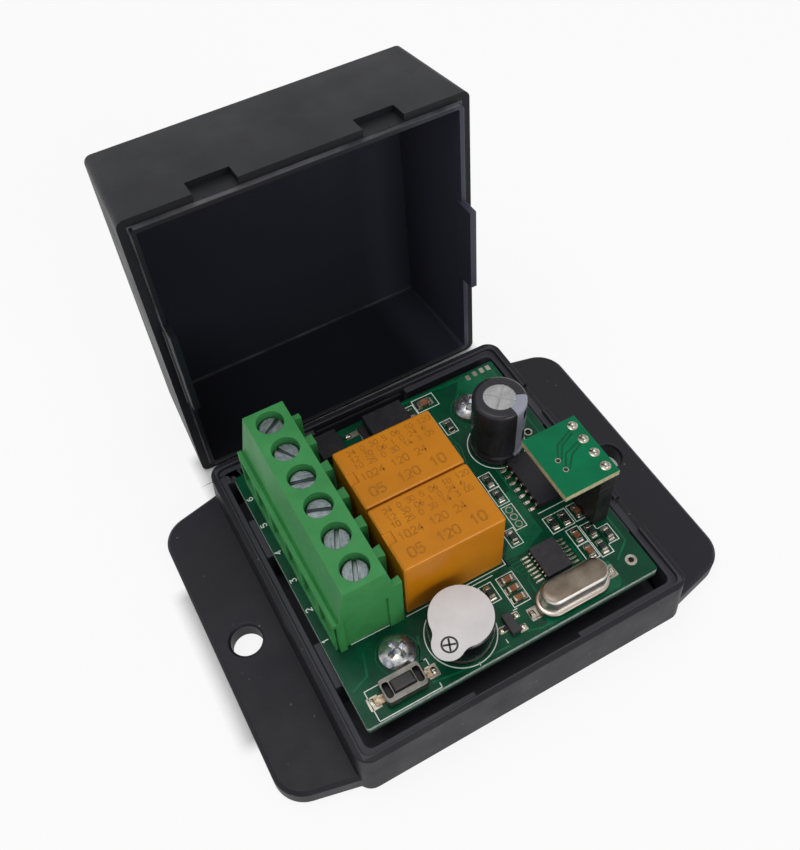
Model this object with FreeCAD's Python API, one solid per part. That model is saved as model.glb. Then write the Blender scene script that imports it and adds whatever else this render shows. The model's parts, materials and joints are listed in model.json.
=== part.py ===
import FreeCAD, Part
import math
import os

# Two-channel radio receiver in a flanged plastic box, with its cover taken off and stood behind it.
# Sizes are millimetres. The origin is the middle of the base's underside and +Z is up.
# The terminal block lies along -X, the button is at the front, and the cover stands on the +Y side.

# Reach of a cutting tool past the face that it cuts, and the overlap of two forms that are joined
over = 1.0
touch = 0.02

# Box, base half
box_corner = 2.2
rim_height = 8.9
base_wall = 1.9
base_floor = 1.8
base_flare = 0.4
rim_skin = 1.0
rim_step = 0.8
cavity_corner = 1.0

# Fixing ears
ear_reach = 10.0
ear_root_inset = 0.7
ear_taper = 2.3
ear_corner = 4.5
ear_height = 3.1
ear_skin = 1.7
ear_skirt = 1.6
ear_edge_round = 0.5
ear_hole_radius = 2.25
ear_hole_inset = 4.6
ear_hole_bevel = 0.3
ear_boss_radius = 4.2

# Snap tongues on the cover and their pockets in the base's front and back walls
snap_width = 15.0
snap_thickness = 1.05
snap_reach = 3.6
snap_bead_radius = 0.3
snap_bead_drop = 1.4
snap_gap = 0.1
pocket_side_gap = 0.6
pocket_floor_gap = 0.8

# Pry slots in the base's right wall and the recesses over them in the cover
pry_width = 5.6
pry_offset = 12.2
pry_step = 1.0
recess_side_gap = 0.35
recess_depth = 3.0

# Ridged key in the base's back left corner
key_length = 2.6
key_width = 1.7
key_drop = 0.7
key_groove = 0.4
key_grooves = 2

# Cover
cover_proud = 0.2
cover_wall = 1.9
cover_roof = 1.4
cover_draft = 0.98
cover_round = 0.5
cover_corner = 1.2
cover_cavity_corner = 0.3
cover_headroom = 0.6
tongue_height = 0.7
cover_stand_gap = 6.2
cover_stand_shift = 0.4
cover_stand_turn = 0.6

# Main circuit board and the gaps round it
board_thickness = 1.6
board_rise = 0.6
board_corner = 0.4
board_side_gap = 1.0
board_front_gap = 1.8
board_back_gap = 2.2
pin_gap = 0.05

# Board screws and what carries the board
screw_side_inset = 8.05
board_screw_radius = 1.25
board_screw_length = 7.0
board_screw_tip = 0.8
board_hole_gap = 0.35
bore_end_gap = 0.4
pan_radius = 2.5
pan_height = 1.8
pan_side = 0.7
pan_crown = 0.8
cross_width = 0.6
cross_length = 2.6
cross_depth = 1.1
cross_angles = (20.0, 110.0)
boss_radius = 2.6
post_radius = 1.6
post_side_inset = 3.4
post_front_inset = 5.2
post_back_inset = 3.4
ledge_length = 7.0
ledge_bearing = 0.6
ledge_offset = 11.0

# Terminal block
poles = 6
pole_spacing = 5.08
block_front_gap = 1.47
terminal_margin = 1.25
terminal_back_margin = 1.85
block_foot = 8.25
block_height = 15.2
block_lean_left = 2.0
block_lean_right = 0.2
seam_height = 7.55
seam_depth = 0.25
seam_half = 0.12
lip_height = 8.5
lip_width = 0.6
lip_groove = 0.26
slope_right = 0.4
slope_drop = 2.9
rib_out = 1.8
rib_width = 1.9
rib_root = 0.3
rib_flare = 0.33
rib_height = 11.0
face_out = 0.2
face_step = 0.63
face_slit = 0.1
slit_depth = 1.3
slit_height = 6.8
wire_wall = 0.47
panel_left = 1.5
panel_right = 7.9
panel_depth = 0.45
screw_inset = 5.05
well_radius = 1.95
web_low = 11.2
web_high = 12.0
web_gap = 0.15
chamber_half = 1.95
chamber_low = 1.5
chamber_wall = 1.75
chamber_length = 5.7
entry_half = 1.6
entry_low = 2.1
entry_high = 6.6
funnel_out = 0.3
funnel_top = 7.2
funnel_depth = 0.6

# Terminal screws, wire clamps and contact bars
head_radius = 1.85
head_height = 1.9
head_bevel = 0.2
shank_radius = 1.2
shank_bevel = 0.3
turning_gap = 0.05
slot_width = 0.6
slot_depth = 0.8
slot_angles = (68, 66, 158, 164, 120, 33)
clamp_half = 1.75
clamp_wall = 0.5
clamp_reach_left = 1.8
clamp_reach_right = 1.55
clamp_low = 1.9
clamp_floor = 0.7
clamp_opening = 4.8
clamp_roof = 1.1
bar_half = 1.0
bar_low = 6.4
bar_thickness = 0.8
bar_end_gap = 0.2
leg_width = 0.6
leg_half = 0.5
tail = 1.3

# Relays
relay_side_gap = 0.6
relay_row_gap = 0.25
relay_length = 15.2
relay_width = 10.2
relay_height = 12.2
relay_stand = 0.3
relay_wall = 0.7
relay_corner = 0.4
relay_bevel = 0.25
relay_notch_length = 1.3
relay_notch_width = 1.9
relay_notch_depth = 0.25
relay_fit = 0.1
relay_plate = 1.4
relay_foot = 0.8
coil_shift = 1.4
coil_flange_radius = 3.8
coil_flange = 0.6
winding_radius = 3.3
winding_height = 5.2
core_radius = 2.2
core_cap = 0.4
iron_gap = 0.05
yoke_thickness = 0.6
yoke_half = 3.0
yoke_offset = 2.9
yoke_foot_inset = 0.8
armature_gap = 0.42
armature_thickness = 0.7
armature_half = 2.8
armature_reach = 8.2
hinge_gap = 0.12
blade_offset = 4.9
blade_thickness = 0.2
blade_half = 1.4
blade_low = 3.2
bridge_thickness = 0.25
bridge_lap = 0.5
contact_height = 4.0
contact_radius = 0.6
rivet_height = 0.25
rest_contact_gap = 0.1
work_contact_gap = 0.35
strip_half = 0.5
coil_pin_inset = 1.5
coil_pin_side = 3.3
coil_pin_half = 0.25
pin_head = 0.4

# Buzzer
buzzer_front_margin = 0.86
buzzer_relay_gap = 1.34
buzzer_inset = 4.9
buzzer_radius = 4.5
buzzer_height = 5.2
buzzer_base_thickness = 0.5
buzzer_wall = 0.6
buzzer_round = 0.3
buzzer_hole_radius = 0.8
magnet_outer = 3.5
magnet_inner = 2.7
magnet_height = 3.2
coil_core_radius = 1.9
coil_core_height = 2.7
diaphragm_thickness = 0.15
label_radius = 4.33
label_thickness = 0.12
label_tab_angle = 217.0
label_tab_distance = 4.3
label_tab_radius = 2.2
buzzer_pin_spacing = 5.0
buzzer_pin_radius = 0.3

# Flat chips with gull-wing leads: width, length and height of the moulding
leads_per_side = 7
logic_chip_gap = 2.6
logic_body = (3.95, 4.9, 1.0)
logic_span = 6.8
logic_lead_spacing = 0.65
logic_lead_width = 0.26
driver_chip_gap = 8.05
driver_front_gap = 5.125
driver_body = (3.9, 8.65, 1.5)
driver_span = 6.1
driver_lead_spacing = 1.27
driver_lead_width = 0.42
lead_thickness = 0.16
lead_knee = 0.25
lead_heel = 0.45
chip_lift = 0.1
dot_radius = 0.3
dot_inset = 0.8
dot_depth = 0.08

# Crystal
crystal_front_margin = 0.5
crystal_chip_gap = 0.8
crystal_offset = 5.8
crystal_length = 10.2
crystal_width = 3.7
crystal_height = 3.9
crystal_round = 0.5
crystal_flange = 0.5
crystal_flange_height = 0.5
crystal_seat = 0.6
crystal_tag_reach = 1.0
crystal_tag_lap = 1.2
crystal_tag_width = 1.3
crystal_tag_thickness = 0.25

# Smoothing capacitor
cap_chip_gap = 0.125
cap_shift = 1.0
cap_screw_gap = 1.2
cap_radius = 4.0
cap_height = 11.8
sleeve_wall = 0.14
cap_shoulder = 0.7
cap_shoulder_steps = 3
cap_disc_radius = 2.75
cap_lift = 0.15
cap_neck_height = 1.4
cap_neck_depth = 0.35
cap_neck_slope = 0.3
bung_gap = 0.15
vent_width = 0.22
vent_length = 4.6
vent_depth = 0.12
vent_angles = (45.0, 135.0)
bung_height = 1.2
cap_lead_spacing = 3.5
cap_lead_radius = 0.3

# Plug-in radio board
socket_chip_gap = 0.08
socket_margin = 1.33
socket_width = 2.54
socket_end_gap = 0.05
radio_pins = 4
radio_pin_spacing = 2.54
radio_pin_half = 0.32
radio_pin_rise = 0.35
radio_front_margin = 9.7
radio_edge = 1.2
radio_pin_shift = 0.1
radio_width = 8.6
radio_length = 10.5
radio_height = 12.8
radio_thickness = 1.0
socket_height = 8.9
radio_chip_inset = 1.0
radio_chip_width = 3.9
radio_chip_length = 4.9
radio_chip_height = 0.9

# Push button switch
switch_side_margin = 2.4
switch_front_margin = 0.9
switch_screw_gap = 0.1
switch_length = 5.9
switch_width = 3.4
switch_height = 1.9
frame_sheet = 0.2
frame_lift = 0.35
frame_corner = 0.5
button_length = 3.0
button_width = 1.6
button_rise = 0.65
button_gap = 0.1
button_flange = 0.25
button_slack = 0.05
button_bevel = 0.2
button_travel = 0.25
window_length = 0.9
window_width = 2.2
window_corner = 0.4
switch_base_height = 0.75
switch_base_gap = 0.05
dome_radius = 1.4
dome_thickness = 0.12
dome_recess = 0.05
tag_reach = 1.25
tag_width = 1.2
tag_thickness = 0.2

# Transistor, regulator and rectifier
transistor_offset = 4.0
transistor_front = 2.9
transistor_body = (1.3, 2.9, 0.95)
transistor_lead_spacing = 1.9
transistor_span = 2.5
transistor_lead_width = 0.42
regulator_offset = 2.6
regulator_back = 3.4
regulator_body = (6.5, 5.0, 2.3)
regulator_tab = (1.1, 4.4, 0.5)
rectifier_offset = 2.8
rectifier_back = 2.8
rectifier_body = (3.9, 4.4, 1.9)
rectifier_lead_spacing = 2.5
rectifier_lead_reach = 0.9
rectifier_lead_width = 0.7

# Two-ended chips: their places count from the relays' right side and from the board's front edge
chip_long = 1.6
chip_short = 0.85
chip_thick = 0.5
chip_end = 0.35
end_step = 0.02
resistor_places = ((9.66, 13.02), (11.48, 12.92), (13.53, 9.37), (15.35, 7.85), (13.46, 6.55),
                   (-3.94, 8.25), (3.43, 14.0), (5.46, 23.67), (5.4, 20.71), (5.55, 35.23))
capacitor_places = ((13.72, 13.03), (11.41, 9.76), (11.54, 6.84))
trio_place = (-0.85, 5.74)
trio_spacing = 1.53
trio_count = 3
back_resistor_offset = 1.7
back_resistor_back = 2.8
big_capacitor_offset = 4.4
big_capacitor_back = 2.1
big_capacitor_scale = 1.35

# Plated holes in the board
header_hole_offset = 5.45
header_hole_front = 15.5
header_hole_spacing = 1.28
header_hole_radius = 0.35
header_holes = 3
test_hole_side = 2.4
test_hole_front = 2.9
test_hole_radius = 0.4

# Layout from left to right: terminal block, relays, driver chip and radio socket set the board's width
driver_zone = driver_chip_gap + driver_span + socket_chip_gap + socket_width + socket_margin
board_width = terminal_margin + block_foot + rib_out + relay_side_gap + relay_length + driver_zone
board_right = board_width / 2
board_left = -board_right
block_left = board_left + terminal_margin
block_right = block_left + block_foot
screw_x = block_left + screw_inset
chamber_left = block_left + chamber_wall
chamber_right = chamber_left + chamber_length
relay_left = block_right + rib_out + relay_side_gap
relay_right = relay_left + relay_length
relay_x = relay_left + relay_length / 2
coil_x = relay_x - coil_shift
driver_x = relay_right + driver_chip_gap + driver_span / 2
logic_x = relay_right + logic_chip_gap + logic_span / 2
radio_pin_x = driver_x + driver_span / 2 + socket_chip_gap + socket_width / 2
radio_right = radio_pin_x + radio_edge
cap_x = driver_x - cap_shift
buzzer_x = relay_left + buzzer_inset
crystal_x = relay_right + crystal_offset
switch_x = board_left + switch_side_margin + tag_reach + switch_length / 2

# Layout from front to back: switch, board screw and terminal block set the board's depth
block_length = poles * pole_spacing
screw_zone = switch_front_margin + switch_width + switch_screw_gap + 2 * pan_radius
board_depth = screw_zone + block_front_gap + block_length + terminal_back_margin
box_width = board_width + 2 * (board_side_gap + base_wall)
box_depth = board_depth + board_front_gap + board_back_gap + 2 * base_wall
board_front = -box_depth / 2 + base_wall + board_front_gap
board_back = board_front + board_depth
switch_y = board_front + switch_front_margin + switch_width / 2
front_screw_y = board_front + screw_zone - pan_radius
block_back = board_back - terminal_back_margin
block_front = block_back - block_length
block_face = block_front - face_out
buzzer_y = board_front + buzzer_front_margin + buzzer_radius
first_relay_y = buzzer_y + buzzer_radius + buzzer_relay_gap + relay_width / 2
relay_rows = (first_relay_y, first_relay_y + relay_width + relay_row_gap)
crystal_y = board_front + crystal_front_margin + crystal_flange + crystal_width / 2
logic_y = crystal_y + crystal_width / 2 + crystal_flange + crystal_chip_gap + logic_body[1] / 2
driver_y = logic_y + logic_body[1] / 2 + driver_front_gap + driver_body[1] / 2
cap_y = driver_y + driver_body[1] / 2 + cap_chip_gap + cap_radius
back_screw_y = cap_y + cap_radius + cap_screw_gap + pan_radius
radio_y = board_front + radio_front_margin + radio_length / 2
radio_pin_middle = radio_y + radio_pin_shift
bung_radius = cap_radius - sleeve_wall - cap_neck_depth - bung_gap
board_screw_points = ((board_left + screw_side_inset, front_screw_y),
                      (board_right - screw_side_inset, back_screw_y))
post_points = ((board_left + post_side_inset, board_back - post_back_inset),
               (board_right - post_side_inset, board_front + post_front_inset))

# Heights
board_top = rim_height + board_rise
board_low = board_top - board_thickness
pin_low = board_low - tail
cover_depth = board_rise + block_height + cover_headroom + cover_roof
relay_plate_top = board_top + relay_stand + relay_plate
coil_low = relay_plate_top + yoke_thickness + 2 * iron_gap
pole_face = coil_low + 2 * coil_flange + winding_height + core_cap
hinge_height = pole_face + armature_gap - hinge_gap
radio_top = board_top + radio_height
dome_top = board_top + switch_base_height - dome_recess


def box(x0, x1, y0, y1, z0, z1):
    """Box between two corners."""
    return Part.makeBox(x1 - x0, y1 - y0, z1 - z0, FreeCAD.Vector(x0, y0, z0))


def block(x, y, z0, size_x, size_y, size_z):
    """Box centred on x and y that stands on z0."""
    return box(x - size_x / 2, x + size_x / 2, y - size_y / 2, y + size_y / 2, z0, z0 + size_z)


def side_box(near, far, side, y0, y1, z0, z1):
    """Box between two distances from the middle plane, on the left with side -1 or the right with 1."""
    x0, x1 = sorted((side * near, side * far))
    return box(x0, x1, y0, y1, z0, z1)


def rod(x, y, z0, z1, radius):
    """Upright cylinder."""
    return Part.makeCylinder(radius, z1 - z0, FreeCAD.Vector(x, y, z0))


def cross_rod(x, y, z, radius, length, along):
    """Cylinder that starts at a point and lies along X or Y."""
    direction = FreeCAD.Vector(1, 0, 0) if along == "x" else FreeCAD.Vector(0, 1, 0)
    return Part.makeCylinder(radius, length, FreeCAD.Vector(x, y, z), direction)


def square_pin(x, y, half, z0, z1):
    """Square pin between two heights."""
    return block(x, y, z0, 2 * half, 2 * half, z1 - z0)


def rounded_outline(width, depth, radius, z, x=0.0, y=0.0):
    """Closed rectangle with round corners, centred on x and y at height z."""
    inner_x = width / 2 - radius
    inner_y = depth / 2 - radius
    edges = []
    ends = []
    for number, (side_x, side_y) in enumerate(((1, 1), (-1, 1), (-1, -1), (1, -1))):
        centre = FreeCAD.Vector(x + side_x * inner_x, y + side_y * inner_y, z)
        points = []
        for part in (0, 45, 90):
            angle = math.radians(90 * number + part)
            points.append(centre + FreeCAD.Vector(radius * math.cos(angle), radius * math.sin(angle), 0))
        edges.append(Part.Arc(*points).toShape())
        ends.append((points[0], points[2]))
    for number in range(4):
        edges.append(Part.makeLine(ends[number][1], ends[(number + 1) % 4][0]))
    return Part.Wire(Part.__sortEdges__(edges))


def rounded_plate(width, depth, radius, z0, z1, x=0.0, y=0.0):
    """Upright plate with round corners."""
    face = Part.Face(rounded_outline(width, depth, radius, z0, x, y))
    return face.extrude(FreeCAD.Vector(0, 0, z1 - z0))


def tapered_plate(width, depth, radius, z0, z1, spread):
    """Upright plate with round corners that grows by spread on every side from z0 to z1."""
    low = rounded_outline(width, depth, radius, z0)
    high = rounded_outline(width + 2 * spread, depth + 2 * spread, radius, z1)
    return Part.makeLoft([low, high], True, True)


def flat_prism(points, z0, z1):
    """Upright prism over a polygon of x, y points."""
    corners = [FreeCAD.Vector(px, py, z0) for px, py in points]
    return Part.Face(Part.makePolygon(corners + corners[:1])).extrude(FreeCAD.Vector(0, 0, z1 - z0))


def side_prism(points, y0, y1):
    """Prism along Y over a polygon of x, z points."""
    corners = [FreeCAD.Vector(px, y0, pz) for px, pz in points]
    return Part.Face(Part.makePolygon(corners + corners[:1])).extrude(FreeCAD.Vector(0, y1 - y0, 0))


def turned(points, x, y):
    """Solid of revolution about an upright axis, from a polygon of radius, height points."""
    corners = [FreeCAD.Vector(x + radius, y, z) for radius, z in points]
    face = Part.Face(Part.makePolygon(corners + corners[:1]))
    return face.revolve(FreeCAD.Vector(x, y, 0), FreeCAD.Vector(0, 0, 1), 360)


def edges_at(shape, z):
    """Edges that lie flat at height z."""
    return [edge for edge in shape.Edges
            if edge.BoundBox.ZLength < touch and abs(edge.BoundBox.ZMin - z) < touch]


def corners_beyond(shape, x):
    """Upright straight edges further right than x."""
    found = []
    for edge in shape.Edges:
        bounds = edge.BoundBox
        upright = bounds.ZLength > touch and bounds.XLength < touch and bounds.YLength < touch
        if upright and bounds.XMin > x:
            found.append(edge)
    return found


def ear_outline(inset, root_x):
    """Corners of the right ear from root_x outwards, drawn in from its free edges by inset."""
    tip_x = box_width / 2 + ear_reach
    root_half = box_depth / 2 - ear_root_inset
    slope = ear_taper / ear_reach
    root_y = root_half - inset - slope * (root_x - box_width / 2)
    tip_y = root_half - ear_taper - inset + slope * inset
    return ((root_x, -root_y), (tip_x - inset, -tip_y), (tip_x - inset, tip_y), (root_x, root_y))


def ear(side):
    """One fixing ear: a flat plate with rounded corners, cored out underneath round its hole's boss."""
    hole_x = box_width / 2 + ear_reach - ear_hole_inset
    root_x = box_width / 2 - base_wall / 2
    plate = flat_prism(ear_outline(0.0, root_x), 0, ear_height)
    plate = plate.makeFillet(ear_corner, corners_beyond(plate, root_x + touch))
    rim = [edge for edge in edges_at(plate, ear_height) if edge.BoundBox.XMax > root_x + touch]
    plate = plate.makeChamfer(ear_edge_round, rim)
    core_x = box_width / 2 + base_flare + ear_skirt
    core = flat_prism(ear_outline(ear_skirt, core_x), 0, ear_height - ear_skin)
    core = core.makeFillet(ear_corner - ear_skirt, corners_beyond(core, core_x + touch))
    core = core.cut(rod(hole_x, 0, 0, ear_height, ear_boss_radius))
    plate = plate.cut(core)
    plate = plate.cut(rod(hole_x, 0, -over, ear_height + over, ear_hole_radius))
    bevel = Part.makeCone(ear_hole_radius, ear_hole_radius + ear_hole_bevel, ear_hole_bevel,
                          FreeCAD.Vector(hole_x, 0, ear_height - ear_hole_bevel))
    plate = plate.cut(bevel)
    if side < 0:
        plate = plate.mirror(FreeCAD.Vector(0, 0, 0), FreeCAD.Vector(1, 0, 0))
    return plate


def board_supports():
    """What stands on the base's floor under the board: screw bosses, posts and side ledges."""
    supports = []
    for x, y in board_screw_points:
        supports.append(rod(x, y, base_floor, board_low, boss_radius))
    for x, y in post_points:
        supports.append(rod(x, y, base_floor, board_low, post_radius))
    wall_x = box_width / 2 - base_wall
    bearing_x = board_right - ledge_bearing
    for side in (-1, 1):
        for y in (-ledge_offset, ledge_offset):
            supports.append(side_box(bearing_x, wall_x + touch, side, y - ledge_length / 2,
                                     y + ledge_length / 2, base_floor, board_low))
    return supports


def corner_key():
    """Ridged block in the back left corner of the base."""
    x0 = -box_width / 2 + base_wall
    y1 = box_depth / 2 - base_wall
    top = rim_height - key_drop
    key = box(x0 - touch, x0 + key_length, y1 - key_width, y1 + touch, base_floor, top)
    step = key_length / (key_grooves + 1)
    for number in range(key_grooves):
        middle = x0 + (number + 1) * step
        key = key.cut(box(middle - key_groove / 2, middle + key_groove / 2, y1 - key_width - over, y1,
                          top - key_groove, top + over))
    return key


def base_tray():
    """Lower half of the box: flared shell with a stepped rim, snap pockets, ears and board supports."""
    shell = tapered_plate(box_width + 2 * base_flare, box_depth + 2 * base_flare, box_corner, 0, rim_height,
                          -base_flare)
    for side in (-1, 1):
        shell = shell.fuse(ear(side))
    shell = shell.cut(rounded_plate(box_width - 2 * base_wall, box_depth - 2 * base_wall, cavity_corner,
                                    base_floor, rim_height + over))
    shell = shell.cut(rounded_plate(box_width - 2 * rim_skin, box_depth - 2 * rim_skin, box_corner - rim_skin,
                                    rim_height - rim_step, rim_height + over))
    tray = shell.multiFuse(board_supports() + [corner_key()])
    for x, y in board_screw_points:
        bottom = board_top - board_screw_length - bore_end_gap
        tray = tray.cut(rod(x, y, bottom, board_low + over, board_screw_radius + pin_gap))
    pocket_half = snap_width / 2 + pocket_side_gap
    rim_y = box_depth / 2 - rim_skin
    for side in (-1, 1):
        y0, y1 = sorted((side * rim_y, side * (box_depth / 2 - base_wall - over)))
        tray = tray.cut(box(-pocket_half, pocket_half, y0, y1, rim_height - snap_reach - pocket_floor_gap,
                            rim_height + over))
        tray = tray.cut(cross_rod(-snap_width / 2 - snap_gap, side * rim_y, rim_height - snap_bead_drop,
                                  snap_bead_radius + snap_gap, snap_width + 2 * snap_gap, "x"))
        y = side * pry_offset
        tray = tray.cut(box(box_width / 2 - rim_skin - touch, box_width / 2 + over, y - pry_width / 2,
                            y + pry_width / 2, rim_height - pry_step, rim_height + over))
    return tray.removeSplitter()


def cover_upright():
    """Upper half of the box with its rim at z = 0 and roof up; it closes turned a quarter turn left."""
    width = box_depth
    depth = box_width
    outer = tapered_plate(width + 2 * cover_proud, depth + 2 * cover_proud, cover_corner, 0, cover_depth,
                          -cover_draft)
    outer = outer.makeFillet(cover_round, edges_at(outer, cover_depth))
    tongue_inset = rim_skin + snap_gap
    tongue = rounded_plate(width - 2 * tongue_inset, depth - 2 * tongue_inset, box_corner - tongue_inset,
                           -tongue_height, over)
    cover = outer.fuse(tongue)
    inner_depth = cover_depth - cover_roof
    lean = cover_draft / cover_depth
    low_growth = lean * snap_reach
    hollow = tapered_plate(width - 2 * cover_wall + 2 * low_growth, depth - 2 * cover_wall + 2 * low_growth,
                           cover_cavity_corner, -snap_reach, inner_depth, -lean * (snap_reach + inner_depth))
    cover = cover.cut(hollow)
    recess_half = pry_width / 2 + recess_side_gap
    snap_x = width / 2 - tongue_inset
    for side in (-1, 1):
        x = side * pry_offset
        cover = cover.cut(box(x - recess_half, x + recess_half, -depth / 2 - over, -depth / 2 + rim_skin,
                              -tongue_height - over, recess_depth))
        cover = cover.fuse(side_box(snap_x - snap_thickness, snap_x, side, -snap_width / 2, snap_width / 2,
                                    -snap_reach, over / 2))
        cover = cover.fuse(cross_rod(side * snap_x, -snap_width / 2, -snap_bead_drop, snap_bead_radius,
                                     snap_width, "y"))
    return cover.removeSplitter()


def lid_cover():
    """The cover as it stands behind the base: on one drafted side wall, open side to the front."""
    lean = math.atan(cover_draft / cover_depth)
    half = box_width / 2 + cover_proud
    stand_y = box_depth / 2 + base_flare + cover_stand_gap
    cover = cover_upright()
    cover.rotate(FreeCAD.Vector(0, 0, 0), FreeCAD.Vector(1, 0, 0), -(90 + math.degrees(lean)))
    cover.rotate(FreeCAD.Vector(0, 0, 0), FreeCAD.Vector(0, 0, 1), cover_stand_turn)
    cover.translate(FreeCAD.Vector(cover_stand_shift, stand_y + half * math.sin(lean), half * math.cos(lean)))
    return cover


def pole_y(number):
    """Middle of a terminal pole, counted from the front."""
    return block_front + (number + 0.5) * pole_spacing


def housing_profile():
    """Outline of the terminal block from the side: wire wall with a seam, grooved lip, leaning face."""
    z = board_top
    lip = z + lip_height
    groove = block_left + lip_width
    top = z + block_height
    return ((block_left, z), (block_left, z + seam_height - seam_half),
            (block_left + seam_depth, z + seam_height), (block_left, z + seam_height + seam_half),
            (block_left, lip), (groove, lip), (groove + lip_groove / 2, lip - lip_groove),
            (groove + lip_groove, lip), (block_left + block_lean_left, top),
            (block_right - block_lean_right, top),
            (block_right + slope_right, top - slope_drop), (block_right, z))


def interlock_ribs():
    """Dovetail ribs down the terminal block's relay side, one at each wall between poles."""
    ribs = []
    inner = block_right - rib_root
    outer = block_right + rib_out
    root = rib_width / 2 - rib_flare
    for number in range(poles + 1):
        middle = block_front + number * pole_spacing
        corners = ((inner, middle - root), (outer, middle - rib_width / 2), (outer, middle + rib_width / 2),
                   (inner, middle + root))
        outline = [(x, min(max(y, block_face), block_back)) for x, y in corners]
        ribs.append(flat_prism(outline, board_top, board_top + rib_height))
    return ribs


def face_cuts():
    """What shapes the terminal block's front end: set-back wire wall, its slit and the panel between bars."""
    low = board_top - over
    front = block_face - over
    wall = block_left + wire_wall
    step = box(block_left - over, wall, front, block_face + face_step, low, board_top + seam_height)
    slit = box(wall - face_slit, wall, front, block_face + slit_depth, low, board_top + slit_height)
    panel = box(block_left + panel_left, block_left + panel_right, front, block_face + panel_depth, low,
                board_top + lip_height)
    return [step, slit, panel]


def pole_cuts(y):
    """What one pole removes from the terminal block: well, web hole, clamp chamber, wire entry, leg slot."""
    z = board_top
    well = rod(screw_x, y, z + web_high, z + block_height + over, well_radius)
    web = rod(screw_x, y, z + web_low - touch, z + web_high + touch, shank_radius + web_gap)
    chamber = box(chamber_left, chamber_right, y - chamber_half, y + chamber_half, z + chamber_low,
                  z + web_low)
    entry = box(block_left - over, chamber_left + touch, y - entry_half, y + entry_half,
                z + entry_low, z + entry_high)
    funnel = box(block_left - over, block_left + funnel_depth, y - entry_half - funnel_out,
                 y + entry_half + funnel_out, z + entry_low - funnel_out, z + funnel_top)
    slot = box(chamber_right - leg_width - pin_gap, chamber_right, y - leg_half - pin_gap,
               y + leg_half + pin_gap, z - touch, z + chamber_low + touch)
    return [well, web, chamber, entry, funnel, slot]


def terminal_housing():
    """Six-pole moulding: sloped wire side, screw wells, clamp chambers and interlocking ribs behind."""
    body = side_prism(housing_profile(), block_face, block_back)
    body = body.multiFuse(interlock_ribs())
    cuts = face_cuts()
    for number in range(poles):
        cuts += pole_cuts(pole_y(number))
    return body.cut(cuts).removeSplitter()


def terminal_contacts():
    """Fixed contact bars, each bent down into a solder leg."""
    bars = []
    z = board_top
    right = chamber_right - pin_gap
    for number in range(poles):
        y = pole_y(number)
        bar = box(chamber_left + bar_end_gap, right, y - bar_half, y + bar_half,
                  z + bar_low, z + bar_low + bar_thickness)
        leg = box(chamber_right - leg_width, right, y - leg_half, y + leg_half, pin_low, z + bar_low + touch)
        bars.append(bar.fuse(leg).removeSplitter())
    return Part.makeCompound(bars)


def terminal_screw(number):
    """Slotted clamp screw, its tip just clear of the contact bar."""
    y = pole_y(number)
    seat = board_top + web_high + turning_gap
    top = seat + head_height
    tip = board_top + bar_low + bar_thickness + turning_gap
    profile = ((0, tip), (shank_radius - shank_bevel, tip), (shank_radius, tip + shank_bevel),
               (shank_radius, seat), (head_radius, seat), (head_radius, top - head_bevel),
               (head_radius - head_bevel, top), (0, top))
    slot = block(screw_x, y, top - slot_depth, 2 * head_radius + over, slot_width, slot_depth + over)
    angle = slot_angles[number % len(slot_angles)]
    slot.rotate(FreeCAD.Vector(screw_x, y, 0), FreeCAD.Vector(0, 0, 1), angle)
    return turned(profile, screw_x, y).cut(slot)


def wire_clamp(number):
    """Rising cage round the contact bar, threaded on the screw, shown fully open."""
    y = pole_y(number)
    low = board_top + clamp_low
    window_low = low + clamp_floor
    window_high = window_low + clamp_opening
    high = window_high + clamp_roof
    left = screw_x - clamp_reach_left
    right = screw_x + clamp_reach_right
    window_half = clamp_half - clamp_wall
    cage = box(left, right, y - clamp_half, y + clamp_half, low, high)
    cage = cage.cut(box(left - over, right + over, y - window_half, y + window_half, window_low, window_high))
    return cage.cut(rod(screw_x, y, window_high - touch, high + over, shank_radius + turning_gap))


def relay_case(y):
    """Hollow relay cap, open below, with the small moulded notch at its left end."""
    low = board_top + relay_stand
    top = board_top + relay_height
    cap = rounded_plate(relay_length, relay_width, relay_corner, low, top, relay_x, y)
    cap = cap.makeChamfer(relay_bevel, edges_at(cap, top))
    cap = cap.cut(block(relay_x, y, low - over, relay_length - 2 * relay_wall, relay_width - 2 * relay_wall,
                        top - relay_wall - low + over))
    return cap.cut(box(relay_left - over, relay_left + relay_notch_length, y - relay_notch_width / 2,
                       y + relay_notch_width / 2, top - relay_notch_depth, top + over))


def contact_strip_places():
    """Middle planes of the resting and working contact strips."""
    blade = relay_x + blade_offset + blade_thickness / 2
    reach = blade_thickness / 2 + rivet_height
    rest = blade - reach - rest_contact_gap - rivet_height - blade_thickness / 2
    work = blade + reach + work_contact_gap + rivet_height + blade_thickness / 2
    return (rest, work)


def relay_pin_boxes(y, gap):
    """Contact strips, coil pins and common pin of one relay, grown by gap to cut their holes too."""
    low = pin_low - gap
    head = relay_plate_top + pin_head
    strip_top = board_top + contact_height + contact_radius
    coil_pin_x = relay_left + coil_pin_inset
    boxes = [block(x, y, low, blade_thickness + 2 * gap, 2 * (strip_half + gap), strip_top - low)
             for x in contact_strip_places()]
    for side in (-1, 1):
        boxes.append(square_pin(coil_pin_x, y + side * coil_pin_side, coil_pin_half + gap, low, head))
    common_x = relay_x + yoke_offset + yoke_thickness / 2
    boxes.append(square_pin(common_x, y + coil_pin_side, coil_pin_half + gap, low, head))
    return boxes


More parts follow.
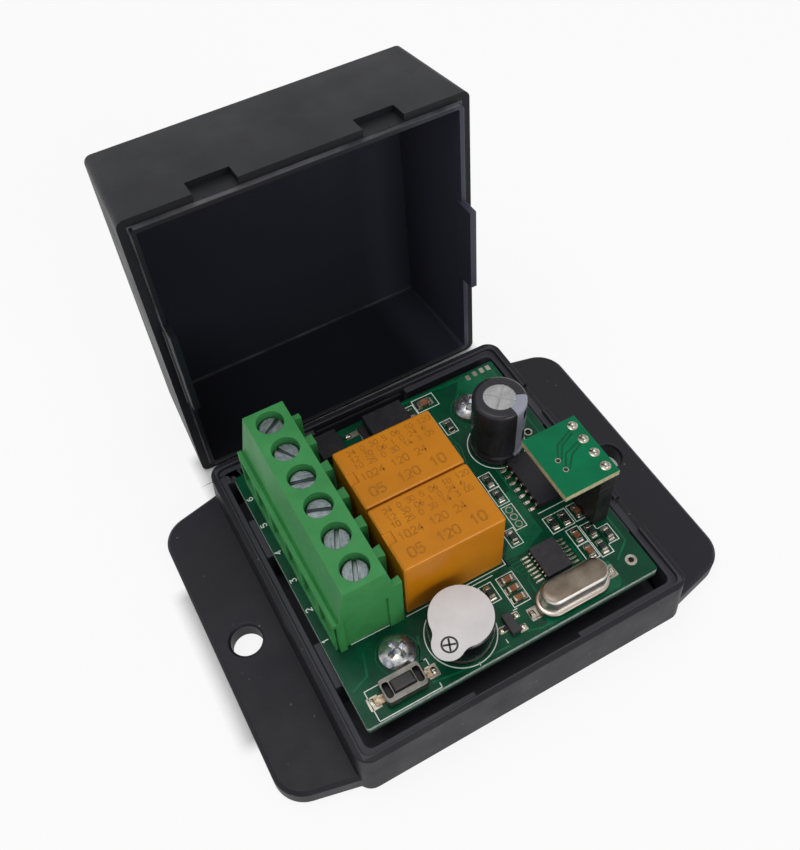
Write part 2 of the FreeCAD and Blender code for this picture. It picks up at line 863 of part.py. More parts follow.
def relay_base(y):
    """Plate that closes the relay from below on four feet, pierced for its pins."""
    low = board_top + relay_stand
    inset = 2 * (relay_wall + relay_fit)
    plate = block(relay_x, y, low, relay_length - inset, relay_width - inset, relay_plate)
    foot_x = (relay_length - inset - relay_foot) / 2
    foot_y = (relay_width - inset - relay_foot) / 2
    feet = []
    for side_x in (-1, 1):
        for side_y in (-1, 1):
            feet.append(block(relay_x + side_x * foot_x, y + side_y * foot_y, board_top, relay_foot,
                              relay_foot, relay_stand + touch))
    plate = plate.multiFuse(feet)
    return plate.cut(relay_pin_boxes(y, pin_gap)).removeSplitter()


def relay_coil(y):
    """Bobbin, winding and core as one turned piece, its pole face under the armature."""
    lower = coil_low + coil_flange
    upper = lower + winding_height
    profile = ((0, coil_low), (coil_flange_radius, coil_low), (coil_flange_radius, lower),
               (winding_radius, lower), (winding_radius, upper), (coil_flange_radius, upper),
               (coil_flange_radius, upper + coil_flange),
               (core_radius, upper + coil_flange), (core_radius, pole_face), (0, pole_face))
    return turned(profile, coil_x, y)


def relay_yoke(y):
    """L-shaped iron: a foot under the coil and the upright on which the armature rocks."""
    low = relay_plate_top + iron_gap
    left = coil_x - coil_flange_radius + yoke_foot_inset
    inner = relay_x + yoke_offset
    outer = inner + yoke_thickness
    profile = ((left, low), (outer, low), (outer, hinge_height), (inner, hinge_height),
               (inner, low + yoke_thickness), (left, low + yoke_thickness))
    return side_prism(profile, y - yoke_half, y + yoke_half)


def relay_armature(y):
    """Iron plate over the pole face, with the contact blade that hangs behind the yoke."""
    low = pole_face + armature_gap
    high = low + armature_thickness
    right = relay_x + yoke_offset + yoke_thickness
    blade = relay_x + blade_offset
    plate = box(right - armature_reach, right, y - armature_half, y + armature_half, low, high)
    bridge = box(right - bridge_lap, blade + blade_thickness, y - blade_half, y + blade_half,
                 high - bridge_thickness, high)
    leaf = box(blade, blade + blade_thickness, y - blade_half, y + blade_half, board_top + blade_low, high)
    rivet = cross_rod(blade - rivet_height, y, board_top + contact_height, contact_radius,
                      blade_thickness + 2 * rivet_height, "x")
    return plate.multiFuse([bridge, leaf, rivet]).removeSplitter()


def relay_contacts(y):
    """Coil pins, common pin and the two fixed contact strips with their rivets."""
    rest_strip, work_strip, *pins = relay_pin_boxes(y, 0.0)
    rest, work = contact_strip_places()
    pieces = []
    for strip, x in ((rest_strip, rest + blade_thickness / 2),
                     (work_strip, work - blade_thickness / 2 - rivet_height)):
        rivet = cross_rod(x, y, board_top + contact_height, contact_radius, rivet_height, "x")
        pieces.append(strip.fuse(rivet).removeSplitter())
    return Part.makeCompound(pieces + pins)


def buzzer_case():
    """Round can with a sound hole in its roof."""
    low = board_top + buzzer_base_thickness
    top = board_top + buzzer_height
    inner = buzzer_radius - buzzer_wall
    profile = ((0, top - buzzer_wall), (inner, top - buzzer_wall), (inner, low), (buzzer_radius, low),
               (buzzer_radius, top - buzzer_round), (buzzer_radius - buzzer_round, top), (0, top))
    can = turned(profile, buzzer_x, buzzer_y)
    return can.cut(rod(buzzer_x, buzzer_y, top - buzzer_wall - over, top + over, buzzer_hole_radius))


def buzzer_pin_places():
    """Middles of the buzzer's two pins."""
    return [(buzzer_x + side * buzzer_pin_spacing / 2, buzzer_y) for side in (-1, 1)]


def buzzer_base():
    """Disc that closes the buzzer, with its two pins."""
    top = board_top + buzzer_base_thickness
    disc = rod(buzzer_x, buzzer_y, board_top, top, buzzer_radius)
    pins = []
    for x, y in buzzer_pin_places():
        disc = disc.cut(rod(x, y, board_top - over, top + over, buzzer_pin_radius))
        pins.append(rod(x, y, pin_low, top, buzzer_pin_radius))
    return Part.makeCompound([disc] + pins)


def buzzer_magnet():
    """Ring magnet round the coil and its core, which drive the diaphragm."""
    low = board_top + buzzer_base_thickness
    high = low + magnet_height
    ring = rod(buzzer_x, buzzer_y, low, high, magnet_outer)
    ring = ring.cut(rod(buzzer_x, buzzer_y, low - over, high + over, magnet_inner))
    core = rod(buzzer_x, buzzer_y, low, low + coil_core_height, coil_core_radius)
    return Part.makeCompound([ring, core])


def buzzer_diaphragm():
    """Thin disc on the ring magnet."""
    low = board_top + buzzer_base_thickness + magnet_height
    return rod(buzzer_x, buzzer_y, low, low + diaphragm_thickness, magnet_outer)


def buzzer_label():
    """Round sticker over the sound hole, with its peel tab."""
    low = board_top + buzzer_height
    angle = math.radians(label_tab_angle)
    tab_x = buzzer_x + label_tab_distance * math.cos(angle)
    tab_y = buzzer_y + label_tab_distance * math.sin(angle)
    disc = rod(buzzer_x, buzzer_y, low, low + label_thickness, label_radius)
    return disc.fuse(rod(tab_x, tab_y, low, low + label_thickness, label_tab_radius)).removeSplitter()


def capacitor_outline(offset):
    """Radius and height points of the capacitor's outside, drawn in by offset."""
    low = board_top + cap_lift
    top = board_top + cap_height - offset
    radius = cap_radius - offset
    waist = radius - cap_neck_depth
    neck = low + cap_neck_height
    points = [(radius, low), (radius, neck), (waist, neck + cap_neck_slope),
              (waist, neck + 2 * cap_neck_slope), (radius, neck + 3 * cap_neck_slope)]
    for number in range(cap_shoulder_steps + 1):
        angle = math.radians(90.0 * number / cap_shoulder_steps)
        points.append((radius - cap_shoulder * (1 - math.cos(angle)),
                       top - cap_shoulder * (1 - math.sin(angle))))
    return points


def capacitor_can():
    """Aluminium can with its scored vent, open below for the rubber bung."""
    low = board_top + cap_lift
    top = board_top + cap_height - sleeve_wall
    profile = [(0, low + bung_height), (bung_radius, low + bung_height), (bung_radius, low)]
    can = turned(profile + capacitor_outline(sleeve_wall) + [(0, top)], cap_x, cap_y)
    scores = []
    for angle in vent_angles:
        score = block(cap_x, cap_y, top - vent_depth, vent_length, vent_width, vent_depth + over)
        score.rotate(FreeCAD.Vector(cap_x, cap_y, 0), FreeCAD.Vector(0, 0, 1), angle)
        scores.append(score)
    return can.cut(scores)


def capacitor_sleeve():
    """Shrink sleeve over the can's side and shoulder."""
    top = board_top + cap_height
    rim = [(cap_disc_radius, top), (cap_disc_radius, top - sleeve_wall)]
    return turned(capacitor_outline(0.0) + rim + capacitor_outline(sleeve_wall)[::-1], cap_x, cap_y)


def capacitor_lead_places():
    """Middles of the capacitor's two leads."""
    return [(cap_x, cap_y + side * cap_lead_spacing / 2) for side in (-1, 1)]


def capacitor_bung():
    """Rubber bung with the two leads that pass through the board."""
    low = board_top + cap_lift
    high = low + bung_height
    bung = rod(cap_x, cap_y, low, high, bung_radius)
    leads = []
    for x, y in capacitor_lead_places():
        bung = bung.cut(rod(x, y, low - over, high + over, cap_lead_radius))
        leads.append(rod(x, y, pin_low, high, cap_lead_radius))
    return Part.makeCompound([bung] + leads)


def radio_pin_y(number):
    """Middle of one header pin, counted from the front."""
    return radio_pin_middle + (number - (radio_pins - 1) / 2) * radio_pin_spacing


def radio_pin_boxes(low, high, gap):
    """The header's square pins between two heights, grown by gap."""
    return [square_pin(radio_pin_x, radio_pin_y(number), radio_pin_half + gap, low, high)
            for number in range(radio_pins)]


def radio_row(low, high):
    """Plastic strip as long as the header, pierced for its pins."""
    strip = block(radio_pin_x, radio_pin_middle, low, socket_width,
                  radio_pins * radio_pin_spacing - 2 * socket_end_gap, high - low)
    return strip.cut(radio_pin_boxes(low - over, high + over, pin_gap))


def receiver_socket():
    """Tall socket on the main board."""
    return radio_row(board_top, board_top + socket_height)


def receiver_header():
    """Short pin strip between the socket and the radio board."""
    return radio_row(board_top + socket_height, radio_top - radio_thickness)


def receiver_pins():
    """Four pins through the radio board, header, socket and main board."""
    return Part.makeCompound(radio_pin_boxes(pin_low, radio_top + radio_pin_rise, 0.0))


def receiver_board():
    """Small radio board that lies flat on top of the header."""
    low = radio_top - radio_thickness
    plate = box(radio_right - radio_width, radio_right, radio_y - radio_length / 2,
                radio_y + radio_length / 2, low, radio_top)
    return plate.cut(radio_pin_boxes(low - over, radio_top + over, pin_gap))


def receiver_chip():
    """Radio chip on the small board's underside."""
    x = radio_right - radio_width + radio_chip_inset + radio_chip_width / 2
    low = radio_top - radio_thickness - radio_chip_height
    return block(x, radio_y, low, radio_chip_width, radio_chip_length, radio_chip_height)


def crystal_plate(spread, low, high):
    """Plate with half-round ends over the crystal's place, wider than its can by spread on every side."""
    width = crystal_width + 2 * spread
    return rounded_plate(crystal_length + 2 * spread, width, width / 2 - touch, low, high, crystal_x,
                         crystal_y)


def crystal_can():
    """Pressed metal can of the quartz crystal with its welded flange."""
    low = board_top + crystal_seat
    top = board_top + crystal_height
    can = crystal_plate(0.0, low, top)
    can = can.makeChamfer(crystal_round, edges_at(can, top))
    return can.fuse(crystal_plate(crystal_flange, low, low + crystal_flange_height)).removeSplitter()


def crystal_base():
    """Insulating seat of the crystal and the bent tags at its ends."""
    tag_top = board_top + crystal_tag_thickness
    pieces = [crystal_plate(crystal_flange / 2, tag_top, board_top + crystal_seat)]
    end_x = crystal_length / 2 + crystal_flange
    for side in (-1, 1):
        middle = crystal_x + side * (end_x + (crystal_tag_reach - crystal_tag_lap) / 2)
        pieces.append(block(middle, crystal_y, board_top, crystal_tag_reach + crystal_tag_lap,
                            crystal_tag_width, crystal_tag_thickness))
    return Part.makeCompound(pieces)


def gull_lead(x, y, side, body_half, span, width, height):
    """One bent lead from a chip's flank down to its pad, side -1 to the left or 1 to the right."""
    z = board_top
    inner = x + side * body_half
    knee = x + side * (body_half + lead_knee)
    heel = x + side * (body_half + lead_heel)
    toe = x + side * span / 2
    profile = ((inner, z + height), (knee, z + height), (heel, z + lead_thickness), (toe, z + lead_thickness),
               (toe, z), (heel - side * lead_thickness, z),
               (knee - side * lead_thickness, z + height - lead_thickness),
               (inner, z + height - lead_thickness))
    return side_prism(profile, y - width / 2, y + width / 2)


def flat_chip(x, y, body):
    """Moulded chip body with its pin-one dot."""
    plastic = block(x, y, board_top + chip_lift, *body)
    top = board_top + chip_lift + body[2]
    return plastic.cut(rod(x - body[0] / 2 + dot_inset, y + body[1] / 2 - dot_inset, top - dot_depth,
                           top + over, dot_radius))


def chip_leads():
    """All gull-wing leads of the two flat chips."""
    rows = ((logic_x, logic_y, logic_body, logic_span, logic_lead_spacing, logic_lead_width),
            (driver_x, driver_y, driver_body, driver_span, driver_lead_spacing, driver_lead_width))
    leads = []
    for x, y, body, span, spacing, width in rows:
        height = chip_lift + (body[2] + lead_thickness) / 2
        for side in (-1, 1):
            for number in range(leads_per_side):
                place = y + (number - (leads_per_side - 1) / 2) * spacing
                leads.append(gull_lead(x, place, side, body[0] / 2, span, width, height))
    return Part.makeCompound(leads)


def transistor():
    """Three-legged transistor."""
    x = relay_right - transistor_offset
    y = board_front + transistor_front
    pieces = [block(x, y, board_top + chip_lift, *transistor_body)]
    for side, place in ((1, -1), (1, 1), (-1, 0)):
        pieces.append(gull_lead(x, y + place * transistor_lead_spacing / 2, side, transistor_body[0] / 2,
                                transistor_span, transistor_lead_width, chip_lift + transistor_body[2] / 2))
    return Part.makeCompound(pieces)


def regulator():
    """Voltage regulator with its heat tab to the left."""
    x = relay_right - regulator_offset
    y = board_back - regulator_back
    tab_x = x - (regulator_body[0] + regulator_tab[0]) / 2
    return Part.makeCompound([block(x, y, board_top, *regulator_body),
                              block(tab_x, y, board_top, *regulator_tab)])


def rectifier():
    """Bridge rectifier with two leads on each side."""
    x = relay_left + rectifier_offset
    y = board_back - rectifier_back
    span = rectifier_body[0] + 2 * rectifier_lead_reach
    pieces = [block(x, y, board_top + chip_lift, *rectifier_body)]
    for side in (-1, 1):
        for place in (-1, 1):
            pieces.append(gull_lead(x, y + place * rectifier_lead_spacing / 2, side, rectifier_body[0] / 2,
                                    span, rectifier_lead_width, chip_lift + rectifier_body[2] / 2))
    return Part.makeCompound(pieces)


def chip_places():
    """Resistors, then capacitors: place, scale and whether each lies along Y."""
    resistors = [(relay_right + x, board_front + y, 1.0, True) for x, y in resistor_places]
    resistors.append((relay_right + back_resistor_offset, board_back - back_resistor_back, 1.0, True))
    capacitors = [(relay_right + x, board_front + y, 1.0, True) for x, y in capacitor_places]
    trio_x = relay_right + trio_place[0]
    trio_y = board_front + trio_place[1]
    capacitors += [(trio_x, trio_y + number * trio_spacing, 1.0, False) for number in range(trio_count)]
    capacitors.append((relay_right + big_capacitor_offset, board_back - big_capacitor_back,
                       big_capacitor_scale, False))
    return resistors, capacitors


def chip_body(x, y, scale, along_y):
    """Ceramic middle of a two-ended chip."""
    length = (chip_long - 2 * chip_end) * scale
    width = chip_short * scale
    size = (width, length) if along_y else (length, width)
    return block(x, y, board_top + end_step, *size, chip_thick)


def chip_end_pair(x, y, scale, along_y):
    """Metal ends of a two-ended chip, a little proud of its middle."""
    ends = []
    shift = (chip_long - chip_end) * scale / 2
    length = chip_end * scale
    width = chip_short * scale
    for side in (-1, 1):
        size = (width, length) if along_y else (length, width)
        place = (x, y + side * shift) if along_y else (x + side * shift, y)
        ends.append(block(*place, board_top, *size, chip_thick + 2 * end_step))
    return ends


def switch_frame():
    """Pressed metal cover of the push switch: centre opening, two windows and bent sides."""
    low = board_top + frame_lift
    top = board_top + switch_height
    cover = rounded_plate(switch_length, switch_width, frame_corner, low, top, switch_x, switch_y)
    opening_x = button_length + 2 * button_gap
    cuts = [block(switch_x, switch_y, low - over, switch_length - 2 * frame_sheet,
                  switch_width - 2 * frame_sheet, top - frame_sheet - low + over),
            block(switch_x, switch_y, low, opening_x, button_width + 2 * button_gap, switch_height)]
    window_x = (button_length + switch_length) / 4
    for side in (-1, 1):
        cuts.append(rounded_plate(window_length, window_width, window_corner, low, top + over,
                                  switch_x + side * window_x, switch_y))
    return cover.cut(cuts)


def switch_base():
    """Moulded base of the push switch, with a shallow well for the snap dome."""
    inset = 2 * (frame_sheet + switch_base_gap)
    base = block(switch_x, switch_y, board_top, switch_length - inset, switch_width - inset,
                 switch_base_height)
    return base.cut(rod(switch_x, switch_y, dome_top - dome_thickness, board_top + switch_base_height + over,
                        dome_radius + switch_base_gap))


def switch_dome():
    """Snap dome under the button."""
    return rod(switch_x, switch_y, dome_top - dome_thickness, dome_top, dome_radius)


def switch_button():
    """Push button, kept under the metal cover by its flange."""
    foot = dome_top + button_travel + button_slack
    flange_top = board_top + switch_height - frame_sheet - button_slack
    top = board_top + switch_height + button_rise
    flange = block(switch_x, switch_y, foot, button_length + 2 * button_flange,
                   button_width + 2 * button_flange, flange_top - foot)
    stem = block(switch_x, switch_y, foot, button_length, button_width, top - foot)
    stem = stem.makeChamfer(button_bevel, edges_at(stem, top))
    return flange.fuse(stem).removeSplitter()


def switch_terminals():
    """Solder tags at both ends of the push switch."""
    length = tag_reach + frame_sheet
    middle = (switch_length + tag_reach - frame_sheet) / 2
    return Part.makeCompound([block(switch_x + side * middle, switch_y, board_top, length, tag_width,
                                    tag_thickness) for side in (-1, 1)])


def board_screws():
    """Two pan-head screws that hold the board to the base's bosses."""
    screws = []
    tip = board_top - board_screw_length
    top = board_top + pan_height
    crown = pan_radius - pan_crown
    profile = ((0, tip), (board_screw_radius / 2, tip), (board_screw_radius, tip + board_screw_tip),
               (board_screw_radius, board_top), (pan_radius, board_top), (pan_radius, board_top + pan_side),
               (crown, top), (0, top))
    for x, y in board_screw_points:
        arms = []
        for angle in cross_angles:
            arm = block(x, y, top - cross_depth, cross_length, cross_width, cross_depth + over)
            arm.rotate(FreeCAD.Vector(x, y, 0), FreeCAD.Vector(0, 0, 1), angle)
            arms.append(arm)
        screws.append(turned(profile, x, y).cut(arms))
    return Part.makeCompound(screws)


def main_board():
    """Main circuit board with every hole that a pin, leg or screw passes through."""
    low = board_low - over
    high = board_top + over
    holes = [rod(x, y, low, high, board_screw_radius + board_hole_gap) for x, y in board_screw_points]
    for number in range(poles):
        y = pole_y(number)
        holes.append(box(chamber_right - leg_width - pin_gap, chamber_right, y - leg_half - pin_gap,
                         y + leg_half + pin_gap, low, high))
    for y in relay_rows:
        holes += relay_pin_boxes(y, pin_gap)
    holes += [rod(x, y, low, high, buzzer_pin_radius + pin_gap) for x, y in buzzer_pin_places()]
    holes += [rod(x, y, low, high, cap_lead_radius + pin_gap) for x, y in capacitor_lead_places()]
    holes += radio_pin_boxes(low, high, pin_gap)
    for number in range(header_holes):
        y = board_front + header_hole_front + number * header_hole_spacing
        holes.append(rod(relay_right + header_hole_offset, y, low, high, header_hole_radius))
    holes.append(rod(board_right - test_hole_side, board_front + test_hole_front, low, high,
                     test_hole_radius))
    middle_y = (board_front + board_back) / 2
    plate = rounded_plate(board_width, board_depth, board_corner, board_low, board_top, 0, middle_y)
    return plate.cut(holes)


def build():
    """Every named piece of the receiver."""
    parts = {}
    parts["base_tray"] = base_tray()
    parts["lid_cover"] = lid_cover()
    parts["main_board"] = main_board()
    parts["board_screws"] = board_screws()
    parts["terminal_housing"] = terminal_housing()
    parts["terminal_contacts"] = terminal_contacts()
    for number in range(poles):
        parts["terminal_screw_%d" % (number + 1)] = terminal_screw(number)
        parts["wire_clamp_%d" % (number + 1)] = wire_clamp(number)
    for number, y in enumerate(relay_rows, 1):
        parts["relay_case_%d" % number] = relay_case(y)
        parts["relay_base_%d" % number] = relay_base(y)
        parts["relay_coil_%d" % number] = relay_coil(y)
        parts["relay_yoke_%d" % number] = relay_yoke(y)
        parts["relay_armature_%d" % number] = relay_armature(y)
        parts["relay_contacts_%d" % number] = relay_contacts(y)
    parts["buzzer_case"] = buzzer_case()
    parts["buzzer_base"] = buzzer_base()
    parts["buzzer_magnet"] = buzzer_magnet()
    parts["buzzer_diaphragm"] = buzzer_diaphragm()
    parts["buzzer_label"] = buzzer_label()
    parts["capacitor_can"] = capacitor_can()
    parts["capacitor_sleeve"] = capacitor_sleeve()
    parts["capacitor_bung"] = capacitor_bung()
    parts["receiver_board"] = receiver_board()
    parts["receiver_socket"] = receiver_socket()
    parts["receiver_header"] = receiver_header()
    parts["receiver_pins"] = receiver_pins()
    parts["receiver_chip"] = receiver_chip()
    parts["crystal_can"] = crystal_can()
    parts["crystal_base"] = crystal_base()
    parts["controller_chip"] = flat_chip(logic_x, logic_y, logic_body)
    parts["driver_chip"] = flat_chip(driver_x, driver_y, driver_body)
    parts["chip_leads"] = chip_leads()
    parts["transistor"] = transistor()
    parts["regulator"] = regulator()
    parts["rectifier"] = rectifier()
    resistors, capacitors = chip_places()
    parts["chip_resistors"] = Part.makeCompound([chip_body(*place) for place in resistors])
    parts["chip_capacitors"] = Part.makeCompound([chip_body(*place) for place in capacitors])
    ends = []
    for place in resistors + capacitors:
        ends += chip_end_pair(*place)
    parts["chip_ends"] = Part.makeCompound(ends)
    parts["switch_frame"] = switch_frame()
    parts["switch_base"] = switch_base()
    parts["switch_dome"] = switch_dome()
    parts["switch_button"] = switch_button()
    parts["switch_terminals"] = switch_terminals()
    return parts


os.makedirs("parts", exist_ok=True)
for name, shape in build().items():
    shape.exportStep("parts/%s.step" % name)
    print(name, "valid" if shape.isValid() else "INVALID", len(shape.Solids), round(shape.Volume, 2))
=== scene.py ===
import json
import math
import bmesh
import bpy
import numpy as np
from mathutils import Matrix, Vector


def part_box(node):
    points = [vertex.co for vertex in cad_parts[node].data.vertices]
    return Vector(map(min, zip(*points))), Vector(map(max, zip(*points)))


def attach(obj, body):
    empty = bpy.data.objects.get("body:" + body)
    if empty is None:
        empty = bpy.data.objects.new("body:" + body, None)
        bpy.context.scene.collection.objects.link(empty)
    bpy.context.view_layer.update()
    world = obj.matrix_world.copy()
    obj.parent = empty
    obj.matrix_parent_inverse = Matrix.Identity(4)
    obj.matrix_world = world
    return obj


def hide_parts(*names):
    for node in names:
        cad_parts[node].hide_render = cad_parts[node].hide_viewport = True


# Looks of the two-channel radio receiver. Lengths are millimetres until a mesh or a shader takes them, apart
# from the stage's, and colours are screen colours from 0 to 255.

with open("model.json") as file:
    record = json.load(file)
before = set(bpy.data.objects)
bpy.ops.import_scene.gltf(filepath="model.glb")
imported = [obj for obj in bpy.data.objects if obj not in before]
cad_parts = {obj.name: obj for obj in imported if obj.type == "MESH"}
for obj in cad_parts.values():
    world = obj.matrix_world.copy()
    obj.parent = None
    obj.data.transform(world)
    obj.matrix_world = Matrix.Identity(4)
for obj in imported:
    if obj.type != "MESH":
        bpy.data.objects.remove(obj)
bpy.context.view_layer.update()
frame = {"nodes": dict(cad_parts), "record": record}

MM = 0.001
BODY_OF = {}
for body_name, members in frame["record"]["behaviour"]["bodies"].items():
    for member in members:
        BODY_OF[member] = body_name


def span(part):
    """Lowest and highest corner of a CAD node."""
    low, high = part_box(part)
    return np.round(np.array(low) / MM, 3), np.round(np.array(high) / MM, 3)


def middle(part):
    """Middle of a CAD node, seen from above."""
    low, high = span(part)
    return (low[:2] + high[:2]) / 2


BOARD = span("main_board")[1][2]
RADIO_TOP = span("receiver_board")[1][2]
PAD_TOP = BOARD + 0.03
CAPACITOR = middle("capacitor_can")
CRYSTAL = middle("crystal_base")
HEADER = middle("receiver_header")
BUZZER = (-5.8, -16.44)
# Of each board screw: its middle and the turn of its cross, in degrees
BOARD_SCREWS = ((-14.55, -14.9, 20.0), (14.55, 14.7, 47.0))
SLOT_ANGLES = (68, 66, 158, 164, 120, 33)
TERMINAL_PITCH = 5.08
HEADER_PITCH = 2.54
# Of each chip: its middle, the pitch and width of its leads, and the reach over both rows of them
CHIPS = ((10.5, -13.35, 0.65, 0.32, 6.8), (15.6, -1.445, 1.27, 0.55, 6.1))
LEADS_A_SIDE = 7


# Surfaces: each one is an array of points and a list of face arrays

def ring_faces(rows, count):
    """Quads between neighbouring rings of a stack, each ring closed on itself."""
    i, j = np.meshgrid(np.arange(rows - 1), np.arange(count), indexing="ij")
    k = (j + 1) % count
    quads = np.stack([i * count + j, i * count + k, (i + 1) * count + k, (i + 1) * count + j], axis=-1)
    return quads.reshape(-1, 4)


def stack(rings):
    """Rings of equal count, anticlockwise from above, joined upwards and closed by a face at each end."""
    rings = np.asarray(rings, float)
    rows, count = rings.shape[:2]
    low = np.arange(count)[::-1].reshape(1, -1)
    high = np.arange(count).reshape(1, -1) + (rows - 1) * count
    return rings.reshape(-1, 3), [ring_faces(rows, count), low, high]


def poled(rings, low, high):
    """A stack of rings closed by one pole point at each end."""
    rows, count = rings.shape[:2]
    points = np.vstack([rings.reshape(-1, 3), [low], [high]])
    j = np.arange(count)
    k = (j + 1) % count
    last = (rows - 1) * count
    foot = np.stack([np.full(count, rows * count), k, j], axis=-1)
    head = np.stack([last + j, last + k, np.full(count, rows * count + 1)], axis=-1)
    return points, [ring_faces(rows, count), foot, head]


def circles(x, y, profile, count):
    """Rings about an upright axis. Point = centre + radius * (cos a, sin a), height, for each pair of radius
    and height in the profile."""
    radius, height = np.asarray(profile, float).T[:, :, None]
    turn = np.arange(count) * 2 * np.pi / count
    rings = np.empty((len(radius), count, 3))
    rings[..., 0] = x + radius * np.cos(turn)
    rings[..., 1] = y + radius * np.sin(turn)
    rings[..., 2] = height
    return rings


def turned(profile, x, y, count):
    """A profile turned about an upright axis, from its lower point on the axis to its upper one."""
    return poled(circles(x, y, profile[1:-1], count), (x, y, profile[0][1]), (x, y, profile[-1][1]))


def hole_ring(x, y, outer, inner, low, rise=0.035, count=32):
    """Plated ring round a hole: a flat ring with upright sides."""
    profile = ((inner, low), (outer, low), (outer, low + rise), (inner, low + rise))
    closing = ring_faces(2, count) % count + np.array([3 * count, 3 * count, 0, 0])
    return circles(x, y, profile, count).reshape(-1, 3), [ring_faces(4, count), closing]


def hole_shade_disc(x, y, radius, low, rise):
    """Dark disc, a painted shade that stands for the depth of a hole."""
    return turned(((0, low), (radius, low), (radius, low + rise), (0, low + rise + 0.002)), x, y, 24)


def circle(x, y, radius, count):
    """Points of a circle."""
    return circles(x, y, ((radius, 0.0),), count)[0, :, :2]


def rounded(x, y, half_x, half_y, radius, steps):
    """Rounded rectangle as one ring, anticlockwise: a quarter circle at each corner."""
    turn = np.linspace(0, np.pi / 2, steps + 1)
    ring = []
    for quarter, (side_x, side_y) in enumerate(((1, 1), (-1, 1), (-1, -1), (1, -1))):
        angle = turn + quarter * np.pi / 2
        ring.append(np.column_stack([x + side_x * (half_x - radius) + radius * np.cos(angle),
                                     y + side_y * (half_y - radius) + radius * np.sin(angle)]))
    return np.vstack(ring)


def at_height(ring, z):
    """A flat ring lifted to one height."""
    return np.column_stack([ring, np.full(len(ring), z)])


def band(points, width, heights, closed=False):
    """Flat band of even width along a broken line; its edge points lie on each corner's bisector."""
    line = np.asarray(points, float)
    if closed:
        before, after = np.roll(line, 1, axis=0), np.roll(line, -1, axis=0)
    else:
        before = np.vstack([2 * line[0] - line[1], line[:-1]])
        after = np.vstack([line[1:], 2 * line[-1] - line[-2]])
    into = (line - before) / np.linalg.norm(line - before, axis=1, keepdims=True)
    out = (after - line) / np.linalg.norm(after - line, axis=1, keepdims=True)
    side_in = np.column_stack([-into[:, 1], into[:, 0]])
    side = side_in + np.column_stack([-out[:, 1], out[:, 0]])
    side /= np.linalg.norm(side, axis=1, keepdims=True)
    sharpest = 0.35
    side *= (width / 2 / np.maximum((side * side_in).sum(axis=1), sharpest))[:, None]
    low, high = heights
    corners = ((line - side, low), (line - side, high), (line + side, high), (line + side, low))
    count = len(line)
    i = np.arange(count if closed else count - 1)
    k = (i + 1) % count
    faces = []
    for a in range(4):
        b = (a + 1) % 4
        faces.append(np.stack([a * count + i, a * count + k, b * count + k, b * count + i], axis=-1))
    if not closed:
        ends = np.arange(4) * count
        faces += [ends.reshape(1, 4), (ends[::-1] + count - 1).reshape(1, 4)]
    return np.vstack([at_height(edge, z) for edge, z in corners]), faces


def joined(surfaces):
    """Several surfaces as one."""
    points, faces, start = [], [], 0
    for some_points, some_faces in surfaces:
        points.append(some_points)
        faces += [face + start for face in some_faces]
        start += len(some_points)
    return np.vstack(points), faces


def new_object(name, data):
    """An object placed in the scene."""
    obj = bpy.data.objects.new(name, data)
    bpy.context.scene.collection.objects.link(obj)
    return obj


def finish_piece(name, mesh, material, body, stands_for, smooth):
    """Shading, material and body of a new mesh, with the CAD nodes that it stands for hidden."""
    mesh.materials.append(material)
    mesh.polygons.foreach_set("use_smooth", np.ones(len(mesh.polygons), bool))
    mesh.set_sharp_from_angle(angle=math.radians(smooth))
    obj = new_object(name, mesh)
    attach(obj, body)
    if stands_for:
        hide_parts(*stands_for)
    return obj


def piece(name, surface, material, stands_for=(), smooth=35.0):
    """Makes a mesh object of a surface, in place and in metres, on the receiver's own body."""
    points, faces = surface
    mesh = bpy.data.meshes.new(name)
    mesh.from_pydata((points * MM).tolist(), [], [row for part in faces for row in part.tolist()])
    mesh.validate()
    return finish_piece(name, mesh, material, "receiver", stands_for, smooth)


def shell(part, material, edge, segments=2, smooth=30.0):
    """A merged copy of a CAD node with its flat faces joined, so that its edges can be rounded."""
    mesh = bpy.data.meshes.new(part + "_look")
    work = bmesh.new()
    work.from_mesh(frame["nodes"][part].data)
    bmesh.ops.remove_doubles(work, verts=work.verts, dist=0.002 * MM)
    bmesh.ops.dissolve_limit(work, angle_limit=math.radians(0.6), verts=work.verts, edges=work.edges)
    bmesh.ops.recalc_face_normals(work, faces=work.faces)
    work.to_mesh(mesh)
    work.free()
    if "custom_normal" in mesh.attributes:
        mesh.attributes.remove(mesh.attributes["custom_normal"])
    obj = finish_piece(part + "_finished", mesh, material, BODY_OF[part], (part,), smooth)
    if edge:
        rounding = obj.modifiers.new("edge_round", "BEVEL")
        rounding.width = edge * MM
        rounding.segments = segments
        rounding.limit_method = "ANGLE"
        rounding.angle_limit = math.radians(smooth)
        rounding.use_clamp_overlap = False
        weighting = obj.modifiers.new("flat_faces", "WEIGHTED_NORMAL")
        weighting.mode = "FACE_AREA"
        weighting.weight = 100
        weighting.keep_sharp = True
    return obj


def paint_node(part, material):
    """Gives a CAD node its finish."""
    mesh = frame["nodes"][part].data
    mesh.materials.clear()
    mesh.materials.append(material)


# Shader nodes: every value may be a constant or another node's socket

def feed(tree, socket, value):
    """Sets a socket, or links another one to it."""
    if isinstance(value, bpy.types.NodeSocket):
        tree.links.new(value, socket)
    else:
        socket.default_value = value


def node(tree, kind, values, **settings):
    """A node with its settings, and its sockets fed by name or by number."""
    made = tree.nodes.new("ShaderNode" + kind)
    for key, value in settings.items():
        setattr(made, key, value)
    for key, value in values.items():
        feed(tree, made.inputs[key], value)
    return made


def calc(tree, operation, *values, clamp=False):
    """Result of a math node."""
    return node(tree, "Math", dict(enumerate(values)), operation=operation, use_clamp=clamp).outputs[0]


def times(tree, first, *others):
    """Product of several values."""
    for other in others:
        first = calc(tree, "MULTIPLY", first, other)
    return first


